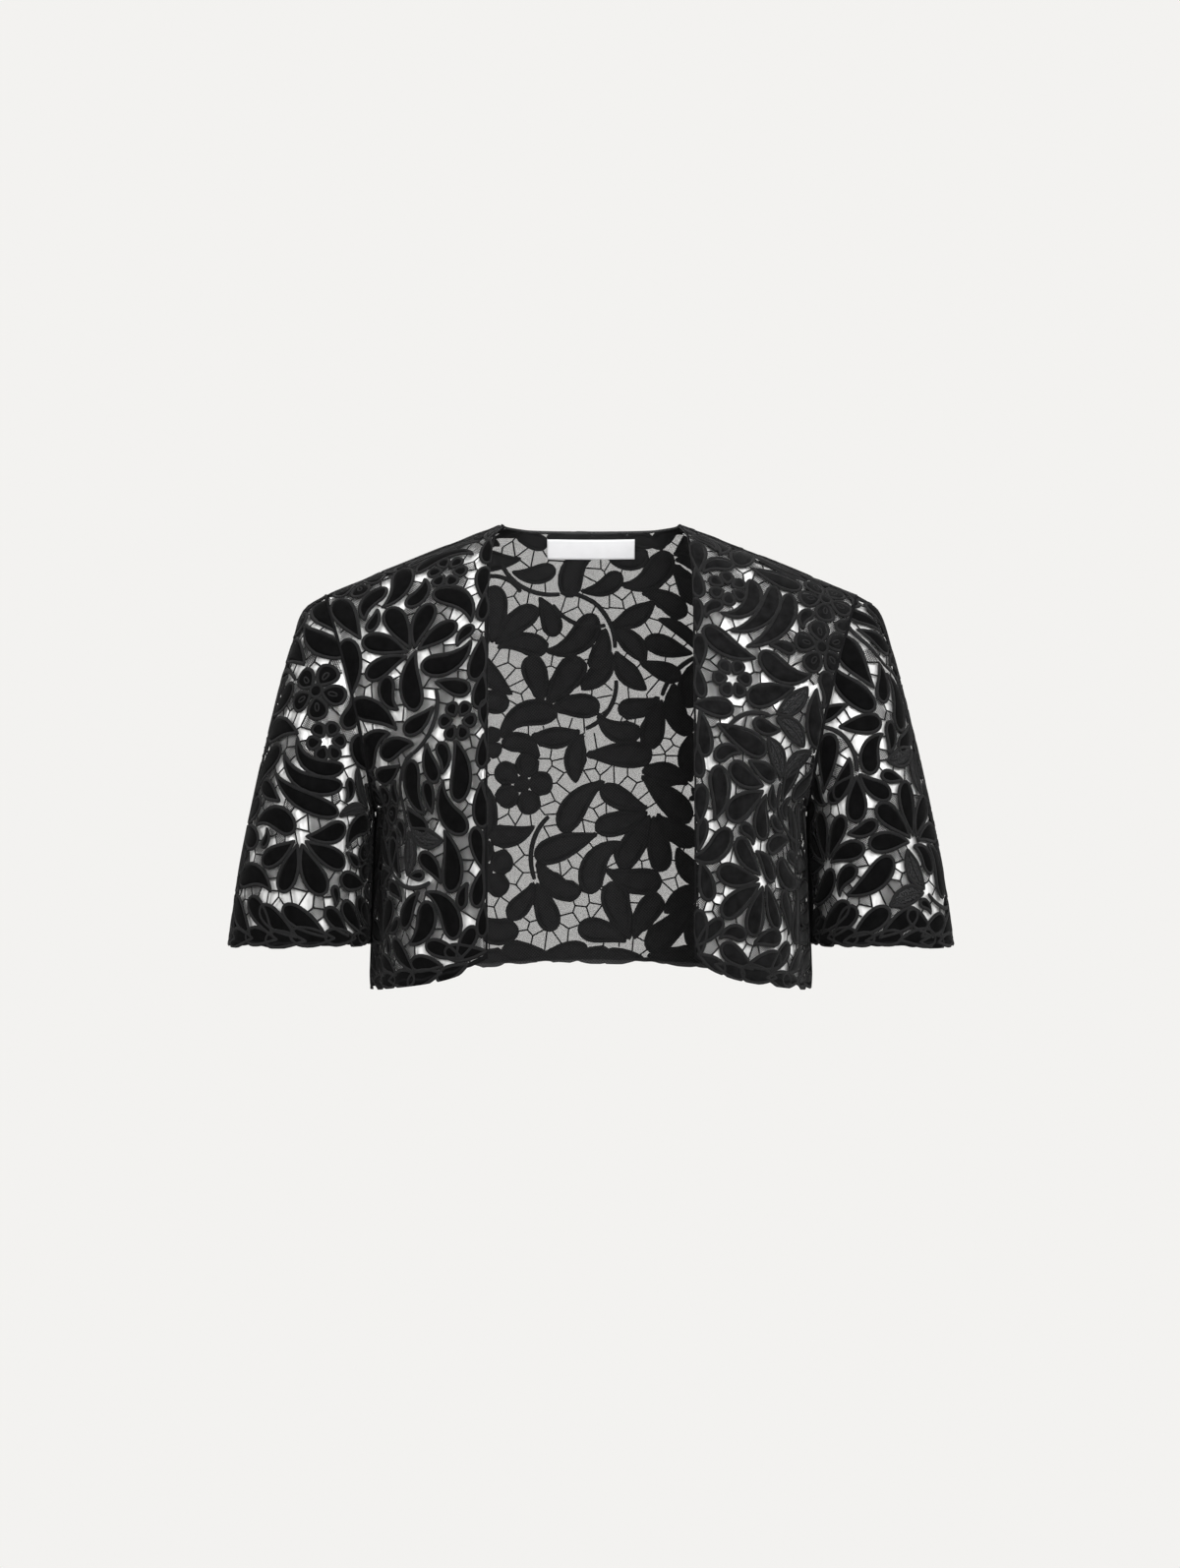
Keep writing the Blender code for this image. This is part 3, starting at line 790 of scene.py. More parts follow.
# %% [markdown]
# ## Bars between the motifs
# The ground of this lace is thin bars, which meet three at a time and cut the gaps into cells. They
# could be drawn one by one, but nature has the same pattern in foam and cracked mud. Seeds are spread
# in the gaps and moved to the middles of their cells; the bars then lie halfway between neighbouring
# seeds, which is a Voronoi net. A bar is left out where a motif already parts two cells.

# %% seeds of the cells
GROUND = {
    # cell, the least room between two seeds, mm; bar, the half width of a bar, mm; netted, the share
    # of cells with net; its pitch and half thread, mm
    "front": {"cell": 8.0, "bar": 0.68, "netted": 0.6, "pitch": 1.3, "thread": 0.20},
    # On the back the net fills every cell, fine and dense: partly the lace's ground, partly painted
    # shade that greys the room seen through the cells.
    "back": {"cell": 9.4, "bar": 0.6, "netted": 1.0, "pitch": 0.62, "thread": 0.112},
    "sleeve": {"cell": 8.0, "bar": 0.68, "netted": 0.4, "pitch": 1.3, "thread": 0.20},
}
SETTLINGS = 4


def cells_of(panel):
    """Seeds of the cells in a panel's gaps, each at the middle of the room nearest to it."""
    cut = PANELS[panel]["cut"]
    chart, gap = CHARTS[cut], LACE[panel]["gap"]
    chance = np.random.default_rng(PANELS[panel]["seed"] + 100)
    free = (gap > CORD + 0.5) & (chart.inside > 0.5)
    field = np.stack([chart.x[free], chart.y[free]], -1)
    field = field + chance.uniform(-0.5, 0.5, field.shape)
    left = np.ones(len(field), bool)
    seeds = []
    for k in chance.permutation(len(field)):
        if left[k]:
            seeds.append(field[k])
            left &= ((field - field[k]) ** 2).sum(axis=1) > GROUND[cut]["cell"] ** 2
    seeds = np.array(seeds)
    for _ in range(SETTLINGS):
        near = nearest(field, seeds)
        count = np.maximum(np.bincount(near, minlength=len(seeds)), 1)
        seeds = np.stack([np.bincount(near, field[:, k], len(seeds)) / count for k in (0, 1)], -1)
    return seeds


# %% bars between the cells
GROUND_ENDS = {
    # how far inside each edge the bars and the net end, in millimetres
    "front": {"edge": 1.0, "hem": 3.0, "side": 0.2, "shoulder": 0.2},
    "back": {"edge": 1.0, "hem": 3.0, "side": 0.2, "shoulder": 0.2},
    "sleeve": {"edge": 0.2, "side": 0.2, "hem": 0.2, "shoulder": 3.0},
}
SHORTEST_BAR, LONGEST_BAR = 0.8, 40


def ground_room(cut):
    """How far each place of the chart lies inside the lines where bars and net end."""
    chart = CHARTS[cut]
    return np.minimum.reduce([chart.sign * chart.edges[name] - end
                              for name, end in GROUND_ENDS[cut].items()])


def straight(start, end, count):
    """Points evenly along straight lines, from each start to its end."""
    t = np.linspace(0, 1, count)[None, :, None]
    return start[:, None] * (1 - t) + end[:, None] * t


def ends_of(held):
    """The first and the last place of each row that is held, and which rows have any."""
    last = held.shape[1] - 1 - held[:, ::-1].argmax(axis=1)
    return held.argmax(axis=1), last, held.any(axis=1)


def cell_walls(seeds):
    """The walls of a Voronoi net: the two seeds beside each, and its two ends.

    The net's corners are the middles of the circles through the corners of the Delaunay triangles;
    a wall joins the middles of two triangles that share a side.
    """
    triangles = np.array(delaunay_2d_cdt([tuple(s) for s in seeds], [], [], 0, 1e-6)[2])
    a, b, c = (seeds[triangles[:, k]] for k in range(3))
    ab, ac = b - a, c - a
    twice = 2 * (ab[:, 0] * ac[:, 1] - ab[:, 1] * ac[:, 0])
    twice = np.where(np.abs(twice) < 1e-6, 1e-6, twice)
    bb, cc = (ab ** 2).sum(axis=1), (ac ** 2).sum(axis=1)
    off = np.stack([ac[:, 1] * bb - ab[:, 1] * cc, ab[:, 0] * cc - ac[:, 0] * bb], -1)
    middle = a + off / twice[:, None]
    sides = np.concatenate([triangles[:, pair] for pair in ((0, 1), (1, 2), (2, 0))])
    sides = np.sort(sides, axis=1)
    owner = np.tile(np.arange(len(triangles)), 3)
    order = np.lexsort((sides[:, 1], sides[:, 0]))
    sides, owner = sides[order], owner[order]
    shared = np.flatnonzero((sides[:-1] == sides[1:]).all(axis=1))
    return sides[shared], middle[owner[shared]], middle[owner[shared + 1]]


def bars_of(panel, seeds):
    """Ends of the bars: walls between two cells that see each other, cut off inside the cords.

    Places just off the paper help as seeds too, so that the bars run out to its edges.
    """
    cut = PANELS[panel]["cut"]
    chart, gap = CHARTS[cut], LACE[panel]["gap"]
    beyond = (chart.inside < -4) & (chart.inside > -6)
    helped = np.concatenate([seeds, np.stack([chart.x[beyond], chart.y[beyond]], -1)])
    beside, start, end = cell_walls(helped)
    sight = straight(helped[beside[:, 0]], helped[beside[:, 1]], 13)
    seen = chart.read(gap, sight).min(axis=1) > 0.6
    long = np.linalg.norm(end - start, axis=1)
    seen &= (long > SHORTEST_BAR) & (long < LONGEST_BAR) & (beside < len(seeds)).all(axis=1)
    line = straight(start[seen], end[seen], 25)
    open_air = (chart.read(gap, line) > 0.2) & (chart.blend(ground_room(cut), line) > 0)
    first, last, fits = ends_of(open_air)
    fits &= last - first >= 2
    pick = np.arange(len(line))
    return line[pick, first][fits], line[pick, last][fits]


for panel, lace in LACE.items():
    lace["seeds"] = cells_of(panel)
    lace["bars"] = bars_of(panel, lace["seeds"])
    print(panel, len(lace["seeds"]), "cells,", len(lace["bars"][0]), "bars")

# %% [markdown]
# ## From the drawing to cloth
# A panel of lace is cut to its pattern, and what was drawn past the paper's edge falls away. A Boolean
# could cut the meshes, but thousands of small pieces are slow to cut and come out ragged, so a point
# past the edge is drawn back to the nearest place of the edge; faces that this flattens are left out
# later. Each point of the paper then goes to its two shares, and from there onto the form.

# %% sewing paper onto the form
SEAM = 0.0002
BORDER = {cut: np.concatenate(list(edge_lines(cut).values())) for cut in FORMS}
ALONG = {cut: np.concatenate([np.gradient(line, axis=0) for line in edge_lines(cut).values()])
         for cut in FORMS}


def sewn(panel, paper, out):
    """Points of a panel's paper, moved out by `out` millimetres, on the finished jacket."""
    cut, side = PANELS[panel]["cut"], PANELS[panel]["side"]
    chart, paper = CHARTS[cut], paper.copy()
    off = chart.blend(chart.inside, paper) < 0
    near = nearest(paper[off], BORDER[cut])
    edge, along = BORDER[cut][near], ALONG[cut][near]
    slip = ((paper[off] - edge) * along).sum(axis=1) / (along ** 2).sum(axis=1)
    paper[off] = edge + np.clip(slip, -0.5, 0.5)[:, None] * along
    half = np.full(len(paper), float(side))
    if cut == "back":
        half = np.where(paper[:, 0] < 0, -1.0, 1.0)
        paper = paper * np.stack([half, 0 * half + 1], -1)
    across, up = (np.clip(share, 0.0, 1 - SEAM) for share in shares_at(cut, paper))
    points = on_cloth(cut, across, up, out * MM)
    points[:, 0] *= half
    return points


# %% [markdown]
# ## Sweeping
# Pads, cords and bars are all one thing: a flat line swept with a small oval section. A pad is a wide
# low oval along a petal's spine, a cord is a closed loop round the petal, a bar is a straight thread.
# Blender's curves with a bevel do the same, but here thousands of sweeps are computed as whole arrays,
# still on the paper, so that each can be sewn onto the form and bend with the panel.

# %% sweeps and meshes
CAP_QUARTERS = ((0, 1, 2, 3), (0, 3, 4, 5))


def tube_faces(many, long, sides, closed):
    """Four-sided faces of tubes, whose points run tube by tube and ring by ring; open ends get caps."""
    knot = np.arange(many * long * sides).reshape(many, long, sides)
    here = knot if closed else knot[:, :-1]
    there = np.roll(knot, -1, axis=1) if closed else knot[:, 1:]
    skin = np.stack([here, there, np.roll(there, -1, axis=2), np.roll(here, -1, axis=2)], -1)
    skin = skin.reshape(-1, 4)
    if closed:
        return skin
    caps = [end[:, quarter][:, ::way] for end, way in ((knot[:, 0], 1), (knot[:, -1], -1))
            for quarter in CAP_QUARTERS[:sides // 2 - 1]]
    return np.concatenate([skin, *caps])


def along_lines(lines, axis, closed):
    """The way along closed or open lines at each of their points, of no set length."""
    if closed:
        return np.roll(lines, -1, axis=axis) - np.roll(lines, 1, axis=axis)
    return np.gradient(lines, axis=axis)


def sweep(line, wide, high, lift, sides, closed=False, across=None):
    """Oval sections along flat lines: wide and high are the half sizes, lift the height.

    Gives the points on the paper, their heights, the faces, and how far along its line each corner of
    a face lies. The flat normals `across` are worked out from the lines if they aren't given.
    """
    if across is None:
        along = unit(along_lines(line, 1, closed))
        across = np.stack([-along[..., 1], along[..., 0]], -1)
    many, long = line.shape[:2]
    angle = 2 * np.pi * np.arange(sides) / sides
    aside = np.broadcast_to(wide, (many, long))[..., None] * np.cos(angle)
    paper = line[..., None, :] + aside[..., None] * across[..., None, :]
    out = lift + np.broadcast_to(high, (many, long))[..., None] * np.sin(angle)
    faces = tube_faces(many, long, sides, closed)
    step = np.linalg.norm(np.roll(line, -1, axis=1) - line, axis=-1)
    step = step[:, :long if closed else long - 1]
    end = step.cumsum(axis=1)
    run = np.stack([end - step, end, end, end - step], -1)[:, :, None] + np.zeros((sides, 1))
    run = run.reshape(-1, 4)
    run = np.pad(run, ((0, len(faces) - len(run)), (0, 0)))
    return paper.reshape(-1, 2), out.reshape(-1), faces, run


def make_piece(name, points, faces, materials, finish=None, maps=None):
    """A smooth mesh of four-sided faces, with a material's index for each and flat maps by name."""
    mesh = bpy.data.meshes.new(name)
    mesh.from_pydata(points, [], faces)
    for one in materials:
        mesh.materials.append(one)
    if finish is not None:
        mesh.polygons.foreach_set("material_index", finish.astype(np.int32))
    for title, corners in (maps or {}).items():
        mesh.uv_layers.new(name=title).data.foreach_set("uv", corners.astype(np.float32).ravel())
    mesh.shade_smooth()
    made = bpy.data.objects.new(name, mesh)
    bpy.context.scene.collection.objects.link(made)
    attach(made, "root")
    return made


# %% [markdown]
# ## Effects that several finishes share
# Cloth is never one even colour. Soft patches, a fine nap, the stitches of a cord and the dots of a
# stippled velvet could be painted pictures; here each is a small group of shader nodes with named
# inputs, built once and placed in any material with its own values. Noise gives patches and nap, a sine
# along the cord gives stitches, and a Voronoi lattice on the paper gives dots. On the satin and on the
# wearer's left front velvet the patches are painted shine, shade and sheen, not the cloth's own colour.

# %% wiring nodes
def add(tree, kind, inputs=None, **settings):
    """A new node with its settings; an input is set to a value, or linked if it is a socket."""
    made = tree.nodes.new("ShaderNode" + kind)
    for title, value in settings.items():
        setattr(made, title, value)
    for title, value in (inputs or {}).items():
        if isinstance(value, bpy.types.NodeSocket):
            tree.links.new(value, made.inputs[title])
        else:
            made.inputs[title].default_value = value
    return made


def sums(tree, way, first, second=0.0):
    """The output of a Math node of two numbers or sockets."""
    return add(tree, "Math", {0: first, 1: second}, operation=way).outputs["Value"]


def new_effect(name, output, kind, **inputs):
    """A node group with number inputs, a colour if one is named so, and one output to link."""
    group = bpy.data.node_groups.new(name, "ShaderNodeTree")
    for title, value in inputs.items():
        kind_in = "NodeSocketColor" if title == "Colour" else "NodeSocketFloat"
        group.interface.new_socket(title, socket_type=kind_in).default_value = value
    group.interface.new_socket(output, in_out="OUTPUT", socket_type=kind)
    given = group.nodes.new("NodeGroupInput").outputs
    return group, given, group.nodes.new("NodeGroupOutput").inputs[output]


# %% the four effects
def mottle_effect():
    """A colour made lighter and darker in soft patches by a noise; a small Upright draws them out."""
    group, given, result = new_effect("mottle", "Colour", "NodeSocketColor", Scale=140.0, Contrast=0.25,
                                      Upright=1.0, Colour=(0.5, 0.5, 0.5, 1.0))
    place = add(group, "SeparateXYZ", {"Vector": add(group, "TexCoord").outputs["Object"]}).outputs
    high = sums(group, "MULTIPLY", place["Z"], given["Upright"])
    drawn_out = add(group, "CombineXYZ", {"X": place["X"], "Y": place["Y"], "Z": high})
    noise = add(group, "TexNoise", {"Vector": drawn_out.outputs["Vector"], "Scale": given["Scale"],
                                    "Detail": 3.0})
    swing = sums(group, "MULTIPLY", sums(group, "SUBTRACT", noise.outputs["Fac"], 0.5), 5.0)
    light = sums(group, "ADD", sums(group, "MULTIPLY", swing, given["Contrast"]), 1.0)
    shade = add(group, "VectorMath", {"Vector": given["Colour"], "Scale": light}, operation="SCALE")
    group.links.new(shade.outputs["Vector"], result)


def grain_effect():
    """Heights of a fine irregular grain: one noise."""
    group, given, result = new_effect("grain", "Height", "NodeSocketFloat", Scale=1400.0)
    place = add(group, "TexCoord").outputs["Object"]
    noise = add(group, "TexNoise", {"Vector": place, "Scale": given["Scale"], "Detail": 2.0})
    group.links.new(noise.outputs["Fac"], result)


def stitch_effect():
    """Heights of satin stitches side by side along a cord: a sine of the way along it."""
    group, given, result = new_effect("stitches", "Height", "NodeSocketFloat", Pitch=0.6)
    cord = add(group, "UVMap", uv_map="stitch").outputs["UV"]
    run = add(group, "SeparateXYZ", {"Vector": cord}).outputs["X"]
    turns = sums(group, "DIVIDE", run, given["Pitch"])
    group.links.new(sums(group, "SINE", sums(group, "MULTIPLY", turns, 2 * np.pi)), result)


def dot_effect():
    """A mask of dots: cells of a slanting lattice on the paper, lit round their middles."""
    group, given, result = new_effect("dots", "Mask", "NodeSocketFloat", Scale=0.6, Unevenness=0.0,
                                      Size=0.3)
    paper = add(group, "UVMap", uv_map="paper").outputs["UV"]
    slant = add(group, "Mapping", {"Vector": paper, "Rotation": (0.0, 0.0, np.radians(38))})
    cells = add(group, "TexVoronoi", {"Vector": slant.outputs["Vector"], "Scale": given["Scale"],
                                      "Randomness": given["Unevenness"]}, voronoi_dimensions="2D")
    rim = sums(group, "ADD", given["Size"], 0.12)
    spot = add(group, "MapRange", {"Value": cells.outputs["Distance"], "From Min": given["Size"],
                                   "From Max": rim, "To Min": 1.0, "To Max": 0.0})
    group.links.new(spot.outputs["Result"], result)


for make_effect in (mottle_effect, grain_effect, stitch_effect, dot_effect):
    make_effect()
print("effects:", [group.name for group in bpy.data.node_groups])

# %% [markdown]
# ## Finishes
# Velvet is almost black and only shows its nap where light grazes it; on the wearer's left front, where
# the nap lies the other way, its colour is painted lighter, like charcoal, with stronger patches: a
# painted sheen for the light that it catches there. The cords are matt thread, a little lighter, and
# the wrong side of the lace shows the dots of its weave. The underlay is a thin shiny satin, its colour
# painted in light and dark streaks drawn upwards: painted shine and shade of its creases. A Sheen
# shader would do for the pads alone; one Principled recipe serves all the cloths.

# %% materials
BUMP_STRENGTH = 0.7
SHEEN_ROUGHNESS = 0.4


def place_effect(tree, name, **values):
    """Puts an effect into a material with its own values, and gives its output."""
    return add(tree, "Group", values, node_tree=bpy.data.node_groups[name]).outputs[0]


def cloth_finish(name, colour, contrast, roughness, specular, sheen=0.0, relief=None, depth=0.0002,
                 dots=None, upright=1.0):
    """A cloth with a soft mottle; relief is an effect and its values, dots a colour and its values."""
    made = bpy.data.materials.new(name)
    made.use_nodes = True
    tree = made.node_tree
    shader = tree.nodes["Principled BSDF"].inputs
    shader["Roughness"].default_value = roughness
    shader["Specular IOR Level"].default_value = specular
    shader["Sheen Weight"].default_value = sheen
    shader["Sheen Roughness"].default_value = SHEEN_ROUGHNESS
    shade = place_effect(tree, "mottle", Colour=[*colour, 1.0], Contrast=contrast, Upright=upright)
    if dots:
        dot_colour, values = dots
        mask = place_effect(tree, "dots", **values)
        shade = add(tree, "Mix", {"Factor": mask, "A": shade, "B": [*dot_colour, 1.0]},
                    data_type="RGBA").outputs["Result"]
    tree.links.new(shade, shader["Base Color"])
    if relief:
        effect, values = relief
        bump = add(tree, "Bump", {"Strength": BUMP_STRENGTH, "Distance": depth,
                                  "Height": place_effect(tree, effect, **values)})
        tree.links.new(bump.outputs["Normal"], shader["Normal"])
    made.diffuse_color = [*colour, 1.0]
    return made


# %% the finishes of this jacket
NAP = ("grain", {"Scale": 1400.0})
STITCHED = ("stitches", {"Pitch": 0.6})
RIBBED = ("grain", {"Scale": 2500.0})
WEAVE = ((0.045, 0.045, 0.046), {"Scale": 0.59, "Unevenness": 0.0, "Size": 0.34})
STIPPLE = ((0.034, 0.034, 0.035), {"Scale": 0.62, "Unevenness": 0.55, "Size": 0.28})
velvet = cloth_finish("velvet", (0.0018, 0.0018, 0.0019), contrast=0.35, roughness=0.95,
                      specular=0.04, sheen=0.02, relief=NAP, depth=0.0004)
# Painted sheen: a lighter copy of the velvet, with stronger patches, for the light that the wearer's
# left front catches where its nap lies the other way.
velvet_with_painted_sheen = cloth_finish("velvet_painted_lighter_for_sheen", (0.0045, 0.0045, 0.0047), contrast=0.5, roughness=0.95,
                      specular=0.06, sheen=0.05, relief=NAP, depth=0.0004)
thread = cloth_finish("cord_thread", (0.0098, 0.0098, 0.0101), contrast=0.2, roughness=0.9,
                      specular=0.1, sheen=0.03, relief=STITCHED, depth=0.0001)
wrong_side = cloth_finish("wrong_side", (0.016, 0.016, 0.0165), contrast=0.2, roughness=0.9,
                          specular=0.2, dots=WEAVE)
stippled = cloth_finish("stippled_velvet", (0.004, 0.004, 0.0042), contrast=0.3, roughness=0.9,
                        specular=0.1, dots=STIPPLE)
seam_thread = cloth_finish("seam_thread", (0.005, 0.005, 0.0053), contrast=0.2, roughness=0.95,
                           specular=0.05, relief=STITCHED, depth=0.0001)
netting = cloth_finish("net_thread", (0.007, 0.007, 0.0073), contrast=0.2, roughness=0.9, specular=0.1)
# The satin's strong light and dark streaks, drawn upwards, are painted shine and shade of its creases.
satin = cloth_finish("pale_satin", (0.66, 0.66, 0.655), contrast=0.36, roughness=0.22, specular=0.9,
                     upright=0.35)
tape = cloth_finish("bare_tape", (0.58, 0.58, 0.59), contrast=0.02, roughness=0.8, specular=0.2,
                    relief=RIBBED, depth=0.0001)
print("finishes:", [one.name for one in bpy.data.materials])

# %% [markdown]
# ## Sewing the lace panels
# Each panel is one piece of lace: pads, the cords round them, small inner cords on the flowers, midribs
# on the leaves, the bars, and the turned edges of the hems, the fronts and the neck. On the back, which
# is seen from its wrong side, cords that almost touch are widened until they meet, as they do there. A
# panel could be many objects, but one mesh with several materials is easier to keep and to export.

# %% cords along the edges
HEM_WAVES = ((0.4, 9.1), (0.4, 4.3), (0.3, 2.2))
EDGE_STATIONS = 170


def edge_cords(cut):
    """Paper lines of the hem and the turned edges, with the half width and half height of each cord.

    The hem's line lies a little inside and is bent by a few sines, a height and a length each.
    """
    t = np.linspace(0.004, 0.996, EDGE_STATIONS)
    near, far = 0 * t + 0.005, 0 * t + 0.995
    from_fold = np.linspace(-0.004, 0.996, EDGE_STATIONS) if cut == "back" else t
    hem = on_paper(cut, t, far) if cut == "sleeve" else on_paper(cut, from_fold, near)
    run, chance = run_along(hem), np.random.default_rng(21)
    wave = sum(high * np.sin(run / long + chance.uniform(0, 6)) for high, long in HEM_WAVES)
    lines = [(hem + [0, 1] * (2.7 + wave)[:, None], 1.7, 0.7)]
    if cut == "front":
        lines.append((on_paper(cut, near, t), 1.0, 0.8))
    if cut == "back":
        neck = on_paper(cut, NECK_REACH * from_fold, 0 * t + 1)
        along = unit(np.gradient(neck, axis=0))
        lines.append((neck + 1.3 * np.stack([along[:, 1], -along[:, 0]], -1), 1.3, 0.9))
        lines += [(line * [-1, 1], wide, high) for line, wide, high in lines]
    return lines


# %% the parts of a panel's lace
PAD, CORDED, WRONG, STIPPLED, SEAMED = range(5)
# Half heights, half widths and lifts, mm; a narrow pad is as high as PAD_SLOPE of its half width
PAD_HEIGHT, PAD_SLOPE = 0.62, 0.25
CORD_HEIGHT, CORD_LIFT = 0.75, 0.15
BAR_HEIGHT, BAR_LIFT = 0.5, -0.05
FINE_WIDTH, FINE_HEIGHT = 0.65, 0.45
MEETING_GAP = 1.8


def room_beside(loops):
    """How far each point of the outlines lies from the nearest outline of another petal."""
    points, owner = loops.reshape(-1, 2), np.repeat(np.arange(len(loops)), loops.shape[1])
    near = np.empty(len(points))
    for low in range(0, len(points), 400):
        part = np.s_[low:low + 400]
        far = ((points[part, None] - points[None]) ** 2).sum(axis=-1)
        near[part] = np.where(owner[part, None] == owner[None], np.inf, far).min(axis=1)
    return np.sqrt(near).reshape(loops.shape[:2])


def lace_parts(panel):
    """Every sweep of one panel's lace, with the index of its finish."""
    cut, lace = PANELS[panel]["cut"], LACE[panel]
    rows, parts = lace["rows"], []
    stems, blades, leaves = (rows[:, 6] == kind for kind in (STEM, BLADE, LEAF))
    for group, finish in ((~stems & ~blades & ~leaves, PAD), (blades, CORDED), (leaves, STIPPLED)):
        spine, across, half = petal(rows[group], 13, 0.16)
        high = np.minimum(PAD_HEIGHT, PAD_SLOPE * half)
        parts.append((sweep(spine, half, high, 0.0, 6, across=across), finish))
    loops, cord = lace["lines"][~stems], CORD
    if cut == "back":
        beside = room_beside(loops)
        meet = np.maximum(beside / 2 + 0.1, CORD)
        cord = np.where(beside < 2 * CORD + MEETING_GAP, meet, CORD)
    parts.append((sweep(loops, cord, CORD_HEIGHT, CORD_LIFT, 5, closed=True), CORDED))
    spine, across, half = petal(rows[stems], 17)
    stem = sweep(spine, 1.1 + 1.6 * half, 0.5 + 0.8 * half, 0.1, 6, across=across)
    bars = sweep(straight(*lace["bars"], 3), GROUND[cut]["bar"], BAR_HEIGHT, BAR_LIFT, 4)
    flowers = rows[(lace["kinds"] == "flower") & (rows[:, 6] == BROAD)].copy()
    flowers[:, 0] += 4.6 * np.cos(flowers[:, 2])
    flowers[:, 1] += 4.6 * np.sin(flowers[:, 2])
    flowers[:, 3:7] = 5.6, 2.8, 0.0, ROUND
    ovals = sweep(outline_of(flowers, 9), FINE_WIDTH, FINE_HEIGHT, 0.55, 5, closed=True)
    spine, across, _ = petal(rows[leaves | blades], 9, 0.5)
    ribs = sweep(spine, FINE_WIDTH, FINE_HEIGHT, 0.6, 4, across=across)
    parts += [(one, CORDED) for one in (stem, bars, ovals, ribs)]
    return parts + [(sweep(line[None], wide, high, 0.0, 6), SEAMED)
                    for line, wide, high in edge_cords(cut)]


# %% [markdown]
# ## Seams
# Panels are sewn together at the shoulders, the sides, the armholes and under the sleeves. A seam shows
# as a thin ridge of thread. A curve with a bevel would give it; here it is a ring of points carried
# along the seam's own line on the form, so it lies exactly between the panels, and it thins out at its
# open ends.

# %% rolls along the seams
ROLL_RADIUS, ROLL_SIDES = 1.3, 6
ROLL_TAPER = 5
ROLL_SUNK, ROLL_PROUD = 0.2, -0.6


def seam_lines(cut):
    """Lines where a panel is sewn to its neighbours: with the way out, if it is a loop, how sunk."""
    if cut == "back":
        return []
    t = np.linspace(0.01, 0.995, 60)
    if cut == "front":
        shoulder, side = body_form("front", t, 0 * t + 1), armhole_side("front", t * UNDERARM_SHARE)
        return [(shoulder, np.array([0.0, 0.0, 1.0]), False, ROLL_SUNK),
                (side, np.array([1.0, 0.0, 0.0]), False, ROLL_PROUD)]
    around = np.arange(120) / 120
    share = UNDERARM_SHARE + (1 - UNDERARM_SHARE) * (1 - np.abs(1 - 2 * around))
    body = np.where((around < 0.5)[:, None], armhole_side("front", share), armhole_side("back", share))
    armhole = (body + sleeve_form("sleeve", around, 0 * around)) / 2
    under = sleeve_form("sleeve", 0 * t, t)
    return [(armhole, armhole - armhole.mean(axis=0), True, ROLL_SUNK),
            (under, np.array([-1.0, 0.0, -0.5]), False, ROLL_PROUD)]


def seam_roll(line, out, closed, sunk):
    """A seam as a thin roll: rings of points round a line that is sunk a little into the cloth."""
    along = along_lines(line, 0, closed)
    aside = unit(np.cross(along, out + 0 * line))
    out = unit(np.cross(aside, along))
    angle = (2 * np.pi * np.arange(ROLL_SIDES) / ROLL_SIDES)[None, :, None]
    hoop = np.cos(angle) * aside[:, None] + np.sin(angle) * out[:, None]
    if not closed:
        from_end = np.arange(len(line))
        from_end = np.minimum(from_end, from_end[::-1]) + 0.3
        hoop = hoop * np.minimum(1, np.sqrt(from_end / ROLL_TAPER))[:, None, None]
    points = (line - sunk * MM * out)[:, None] + ROLL_RADIUS * MM * hoop
    return points.reshape(-1, 3), tube_faces(1, len(line), ROLL_SIDES, closed)


# %% lace panels
FACING = {"front": 1, "back": -1, "sleeve": 1}
LEAST_FACE = 0.001 * MM ** 2
UNDERSIDE = -0.1


def without_flat(points, faces, *beside):
    """Leaves out faces that the cloth's edge flattened, what lies beside them, and unused points.

    A face's area is half of the cross product of its diagonals.
    """
    diagonals = points[faces[:, 2]] - points[faces[:, 0]], points[faces[:, 3]] - points[faces[:, 1]]
    kept = np.linalg.norm(np.cross(*diagonals), axis=1) / 2 > LEAST_FACE
    used, index = np.unique(faces[kept], return_inverse=True)
    return points[used], index.reshape(-1, 4), *[one[kept] for one in beside]


def sew_lace(panel, pad):
    """The lace piece of a panel, with the rolls of its seams; the underside gets the wrong side."""
    cut, side = PANELS[panel]["cut"], PANELS[panel]["side"]
    parts = []
    for (paper, out, skin, run), index in lace_parts(panel):
        finish = np.where(out[skin].mean(axis=1) < UNDERSIDE, WRONG, index)
        parts.append((sewn(panel, paper, out), skin, finish, paper[skin], run))
    for seam in seam_lines(cut):
        roll, skin = seam_roll(*seam)
        parts.append((roll * [side, 1, 1], skin, np.full(len(skin), SEAMED),
                      np.zeros((len(skin), 4, 2)), np.zeros((len(skin), 4))))
    points, faces, finish, paper, run = zip(*parts)
    before = np.cumsum([0] + [len(some) for some in points])
    faces = np.concatenate([skin + first for skin, first in zip(faces, before)])
    stitch = np.concatenate(run)[..., None] * [1, 0]
    points, faces, finish, paper, stitch = without_flat(
        np.concatenate(points), faces, np.concatenate(finish), np.concatenate(paper), stitch)
    if FACING[cut] * side < 0:
        faces, paper, stitch = faces[:, ::-1], paper[:, ::-1], stitch[:, ::-1]
    piece = make_piece(panel + "_lace", points, faces,
                       [pad, thread, wrong_side, stippled, seam_thread], finish,
                       {"paper": paper, "stitch": stitch})
    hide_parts(panel)
    return piece


for panel in PANELS:
    sew_lace(panel, velvet_with_painted_sheen if panel == "front_left" else velvet)

